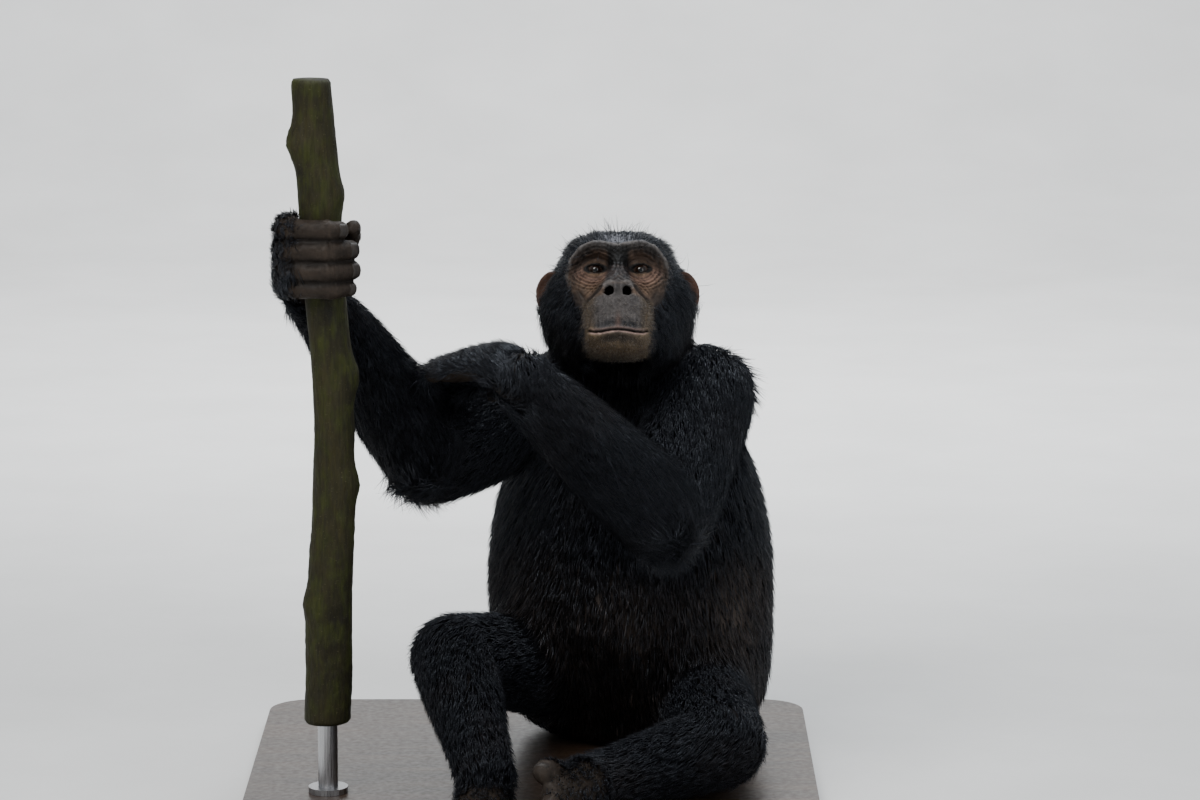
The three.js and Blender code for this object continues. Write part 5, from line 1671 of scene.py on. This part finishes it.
def closed_tube(rings, sides):
    """The faces of rings of points, followed by the two points that close their ends."""
    low_tip, high_tip, last = rings * sides, rings * sides + 1, (rings - 1) * sides
    faces = []
    for k in range(sides):
        after = (k + 1) % sides
        faces += [(low_tip, after, k), (high_tip, last + k, last + after)]
        faces += [(a + k, a + after, a + sides + after, a + sides + k) for a in range(0, last, sides)]
    return faces


EYE_MESH = {
    "rows": 40, "sides": 56, "radius": 11.2, "cornea": 1.1, "cornea_wide": 0.62, "cornea_flat": 0.2,
    "ring_wide": 0.80, "turned_in": 0.02,
}


def build_eye(name, node, side, material):
    """An eyeball with the bulge of its cornea, looking at the camera."""
    size = EYE_MESH
    tilt = math.radians(VIEW["elevation"])
    look = unit(vec(-size["turned_in"] * side, -math.cos(tilt), math.sin(tilt)))
    across = unit(np.cross(look, vec(0, 0, 1)))
    over = np.cross(across, look)
    rings, sides = size["rows"] - 1, size["sides"]
    angle = np.repeat(math.pi * np.arange(1, rings + 1) / (rings + 1), sides)[:, None]
    turn = np.tile(2 * math.pi * np.arange(sides) / sides, rings)[:, None]
    far = size["radius"] + size["cornea"] * smooth(size["cornea_wide"], size["cornea_flat"], angle)
    points = far * (np.cos(angle) * look + np.sin(angle) * (np.cos(turn) * across + np.sin(turn) * over))
    tips = [look * (size["radius"] + size["cornea"]), -look * size["radius"]]
    points = eye_middle(side) + np.vstack([points, tips])
    eye = small_piece(name, points, closed_tube(rings, sides), material)
    set_values(eye, "gaze", np.minimum(1, np.append(angle / size["ring_wide"], (0, 1))))
    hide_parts(node)


NAIL = {
    "half_turn": 0.95, "back": -6.5, "ahead": 5.0, "rounded": 0.14, "edge": 0.25, "lift": 0.9, "sunk": 1.0,
    "steps": 8,
}


def nail_plate(limb):
    """The points of one nail, a curved plate on the outer side of a digit's last joint."""
    end, along = limb.middle[-1], limb.along[-1]
    bend = limb.middle[-1] - 2 * limb.middle[-3] + limb.middle[-5]
    outer = -unit(bend - (bend @ along) * along)
    across = np.cross(along, outer)
    radius = limb.radii[-1].mean()
    size = radius / 10
    wide = NAIL["steps"] + 1
    forward, side = (share.reshape(-1, 1) / NAIL["steps"] for share in np.indices((wide, wide)))
    side = 2 * side - 1
    turn = NAIL["half_turn"] * side
    round_off = 1 - NAIL["rounded"] * side ** 2 * (forward > 0.5)
    reach = lerp(NAIL["back"], NAIL["ahead"], forward) * size * round_off
    base = end + reach * along + radius * (np.cos(turn) * outer + np.sin(turn) * across)
    base = settle(base, field_at, rounds=3)
    rise = unit(base - (end + ((base - end) @ along)[:, None] * along))
    at_edge = (abs(side) == 1) | (forward == 0) | (forward == 1)
    top = base + np.where(at_edge, NAIL["edge"], NAIL["lift"]) * rise * size
    return np.vstack([top, base - NAIL["sunk"] * rise])


def plate_faces(steps):
    """The faces of a closed plate whose points are a square grid on top and the same grid below."""
    grid = np.arange((steps + 1) ** 2).reshape(steps + 1, steps + 1)
    below = grid.size
    top = np.stack([grid[:-1, :-1], grid[:-1, 1:], grid[1:, 1:], grid[1:, :-1]], -1).reshape(-1, 4)
    rim = np.concatenate([grid[0, :-1], grid[:-1, -1], grid[-1, :0:-1], grid[:0:-1, 0]])
    after = np.roll(rim, -1)
    return np.vstack([top, top[:, ::-1] + below, np.stack([rim, rim + below, after + below, after], 1)])


def build_nails(name, digits, material):
    plates = [nail_plate(limb) for limb in digits]
    faces = [plate_faces(NAIL["steps"]) + k * len(plate) for k, plate in enumerate(plates)]
    small_piece(name, np.vstack(plates), np.vstack(faces).tolist(), material)


# The knots of the stem as (height, angle round it, how far each stands out, how high it is).
KNOTS = [(590, 0.2, 9, 22), (455, 0.1, 6, 22), (285, 3.4, 5, 22), (858, 3.3, 12, 24), (800, 0.1, 6, 20)]
BARK_MESH = {"rings": 210, "sides": 48}
# The bark is worn smooth round this height, over this reach, where the hand holds it.
WORN = (705, 70)


def stem_radius(z, turn):
    t = (z - STEM["low"]) / (STEM["high"] - STEM["low"])
    radius = lerp(STEM["radius_low"], STEM["radius_high"], t)
    radius = radius + 1.1 * np.sin(9 * t + 2 * turn) + 0.8 * np.sin(23 * t - turn)
    for height, angle, size, wide in KNOTS:
        radius = radius + size * bump(z, height, wide) * np.maximum(0, np.cos(turn - angle)) ** 2
    return radius


def build_stem(material):
    rings, sides = BARK_MESH["rings"], BARK_MESH["sides"]
    heights = np.linspace(STEM["low"], STEM["high"], rings)
    z = np.repeat(heights, sides)
    turn = np.tile(2 * math.pi * np.arange(sides) / sides, rings)
    middle = np.repeat([stem_middle(height) for height in heights], sides, axis=0)
    way = np.stack([np.cos(turn), np.sin(turn), 0 * turn], 1)
    radius = stem_radius(z, turn)
    bark = middle + way * STEM["radius_low"]
    rough = 0.5 * noise(bark, 7, 81) + 0.9 * noise(bark * (1, 1, 0.4), 16, 82)
    for height, angle, size, wide in KNOTS:
        near = bump(z, height, 1.2 * wide) * smooth(0.2, 0.9, np.cos(turn - angle))
        rough = rough + 0.16 * size * near * noise(bark, 6, 83)
    free = 1 - bump(z, *WORN)
    end = np.minimum(z - STEM["low"], STEM["high"] - z)
    radius = radius + rough * (0.15 + 0.85 * free) - 2.5 * np.exp(-end / 2)
    P = middle + radius[:, None] * way
    P = np.vstack([P, stem_middle(STEM["low"]), stem_middle(STEM["high"])])
    stem = small_piece("stem_bark", P, closed_tube(rings, sides), material)
    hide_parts("perch_stem")


FLOOR = {"wide": 22.0, "near": -11.0, "far": 7.5, "bend": 3.0, "high": 5.0, "steps": 24}


def build_floor():
    """A pale floor that bends up into a backdrop behind the model."""
    half, bend = FLOOR["wide"] / 2, FLOOR["bend"]
    profile = [(FLOOR["near"], 0.0)]
    for k in range(FLOOR["steps"] + 1):
        angle = 0.5 * math.pi * k / FLOOR["steps"]
        profile.append((FLOOR["far"] - bend + bend * math.sin(angle), bend - bend * math.cos(angle)))
    profile.append((FLOOR["far"], FLOOR["high"]))
    points = [(x, y, z) for y, z in profile for x in (-half, half)]
    faces = [(2 * k, 2 * k + 1, 2 * k + 3, 2 * k + 2) for k in range(len(profile) - 1)]
    mesh = bpy.data.meshes.new("floor")
    mesh.from_pydata(points, [], faces)
    mesh.shade_smooth()
    floor = bpy.data.objects.new("floor", mesh)
    bpy.context.scene.collection.objects.link(floor)
    mesh.materials.append(floor_material())


# Soft lamps as (name, place and aim in metres, size, power, colour): three on the model, one on the backdrop.
MODEL_MIDDLE = (-0.05, -0.1, 0.45)
LAMPS = [
    ("key", (-1.5, -2.4, 3.3), MODEL_MIDDLE, 2.2, 150, (1.0, 0.985, 0.96)),
    ("fill", (2.6, -2.6, 1.6), MODEL_MIDDLE, 2.4, 45, (0.95, 0.97, 1.0)),
    ("top", (0.4, 0.9, 3.2), MODEL_MIDDLE, 2.0, 105, (0.92, 0.96, 1.0)),
    ("backdrop_lamp", (0.0, 2.4, 3.4), (0.0, 7.0, 0.9), 3.0, 420, (0.97, 0.98, 1.0)),
]


SKY = {"colour": (0.86, 0.9, 0.95, 1), "strength": 0.45}


def build_lights():
    for name, place, aim, size, power, colour in LAMPS:
        data = bpy.data.lights.new(name, "AREA")
        data.size = size
        data.energy = power
        data.color = colour
        lamp = bpy.data.objects.new(name, data)
        lamp.location = place
        lamp.rotation_euler = (Vector(aim) - Vector(place)).to_track_quat("-Z", "Y").to_euler()
        bpy.context.scene.collection.objects.link(lamp)
    world = bpy.data.worlds.new("studio")
    world.use_nodes = True
    background = world.node_tree.nodes["Background"]
    background.inputs["Color"].default_value = SKY["colour"]
    background.inputs["Strength"].default_value = SKY["strength"]
    bpy.context.scene.world = world


def build_camera():
    data = bpy.data.cameras.new("camera")
    data.lens = VIEW["lens"]
    data.sensor_width = VIEW["sensor"]
    data.clip_end = 50
    camera = bpy.data.objects.new("camera", data)
    tilt = math.radians(VIEW["elevation"])
    target = Vector(VIEW["target"])
    camera.location = target + VIEW["distance"] * Vector((0, -math.cos(tilt), math.sin(tilt)))
    camera.rotation_euler = (target - camera.location).to_track_quat("-Z", "Y").to_euler()
    bpy.context.scene.collection.objects.link(camera)
    bpy.context.scene.camera = camera


def dress_node(name, material):
    """Give a CAD node that stays in view a finished material."""
    for obj in bpy.context.scene.objects:
        if obj.name == name:
            obj.data.materials.clear()
            obj.data.materials.append(material)


def build_all():
    skin = build_skin()
    coat = coat_material()
    build_coat(skin, coat)
    loose_hairs("coat_bristles", skin, BRISTLES, bristle_weight, bristle_run, bristle_colour, coat)
    loose_hairs("coat_strays", skin, STRAYS, stray_weight, stray_run, stray_colour, coat)
    eye = eye_material()
    build_eye("eye_left", "eye_l", 1, eye)
    build_eye("eye_right", "eye_r", -1, eye)
    nail = nail_material()
    for name, digits in (
        ("nails_hand_right", grip_fingers + [grip_thumb]),
        ("nails_hand_left", left_fingers + [left_thumb]),
        ("nails_foot_left", foot_l.toes + [foot_l.big_toe]),
        ("nails_foot_right", foot_r.toes + [foot_r.big_toe]),
    ):
        build_nails(name, digits, nail)
    build_stem(bark_material())
    dress_node("stand_base", board_material())
    dress_node("stand_rod", steel_material())
    build_floor()


build_all()
build_lights()
build_camera()
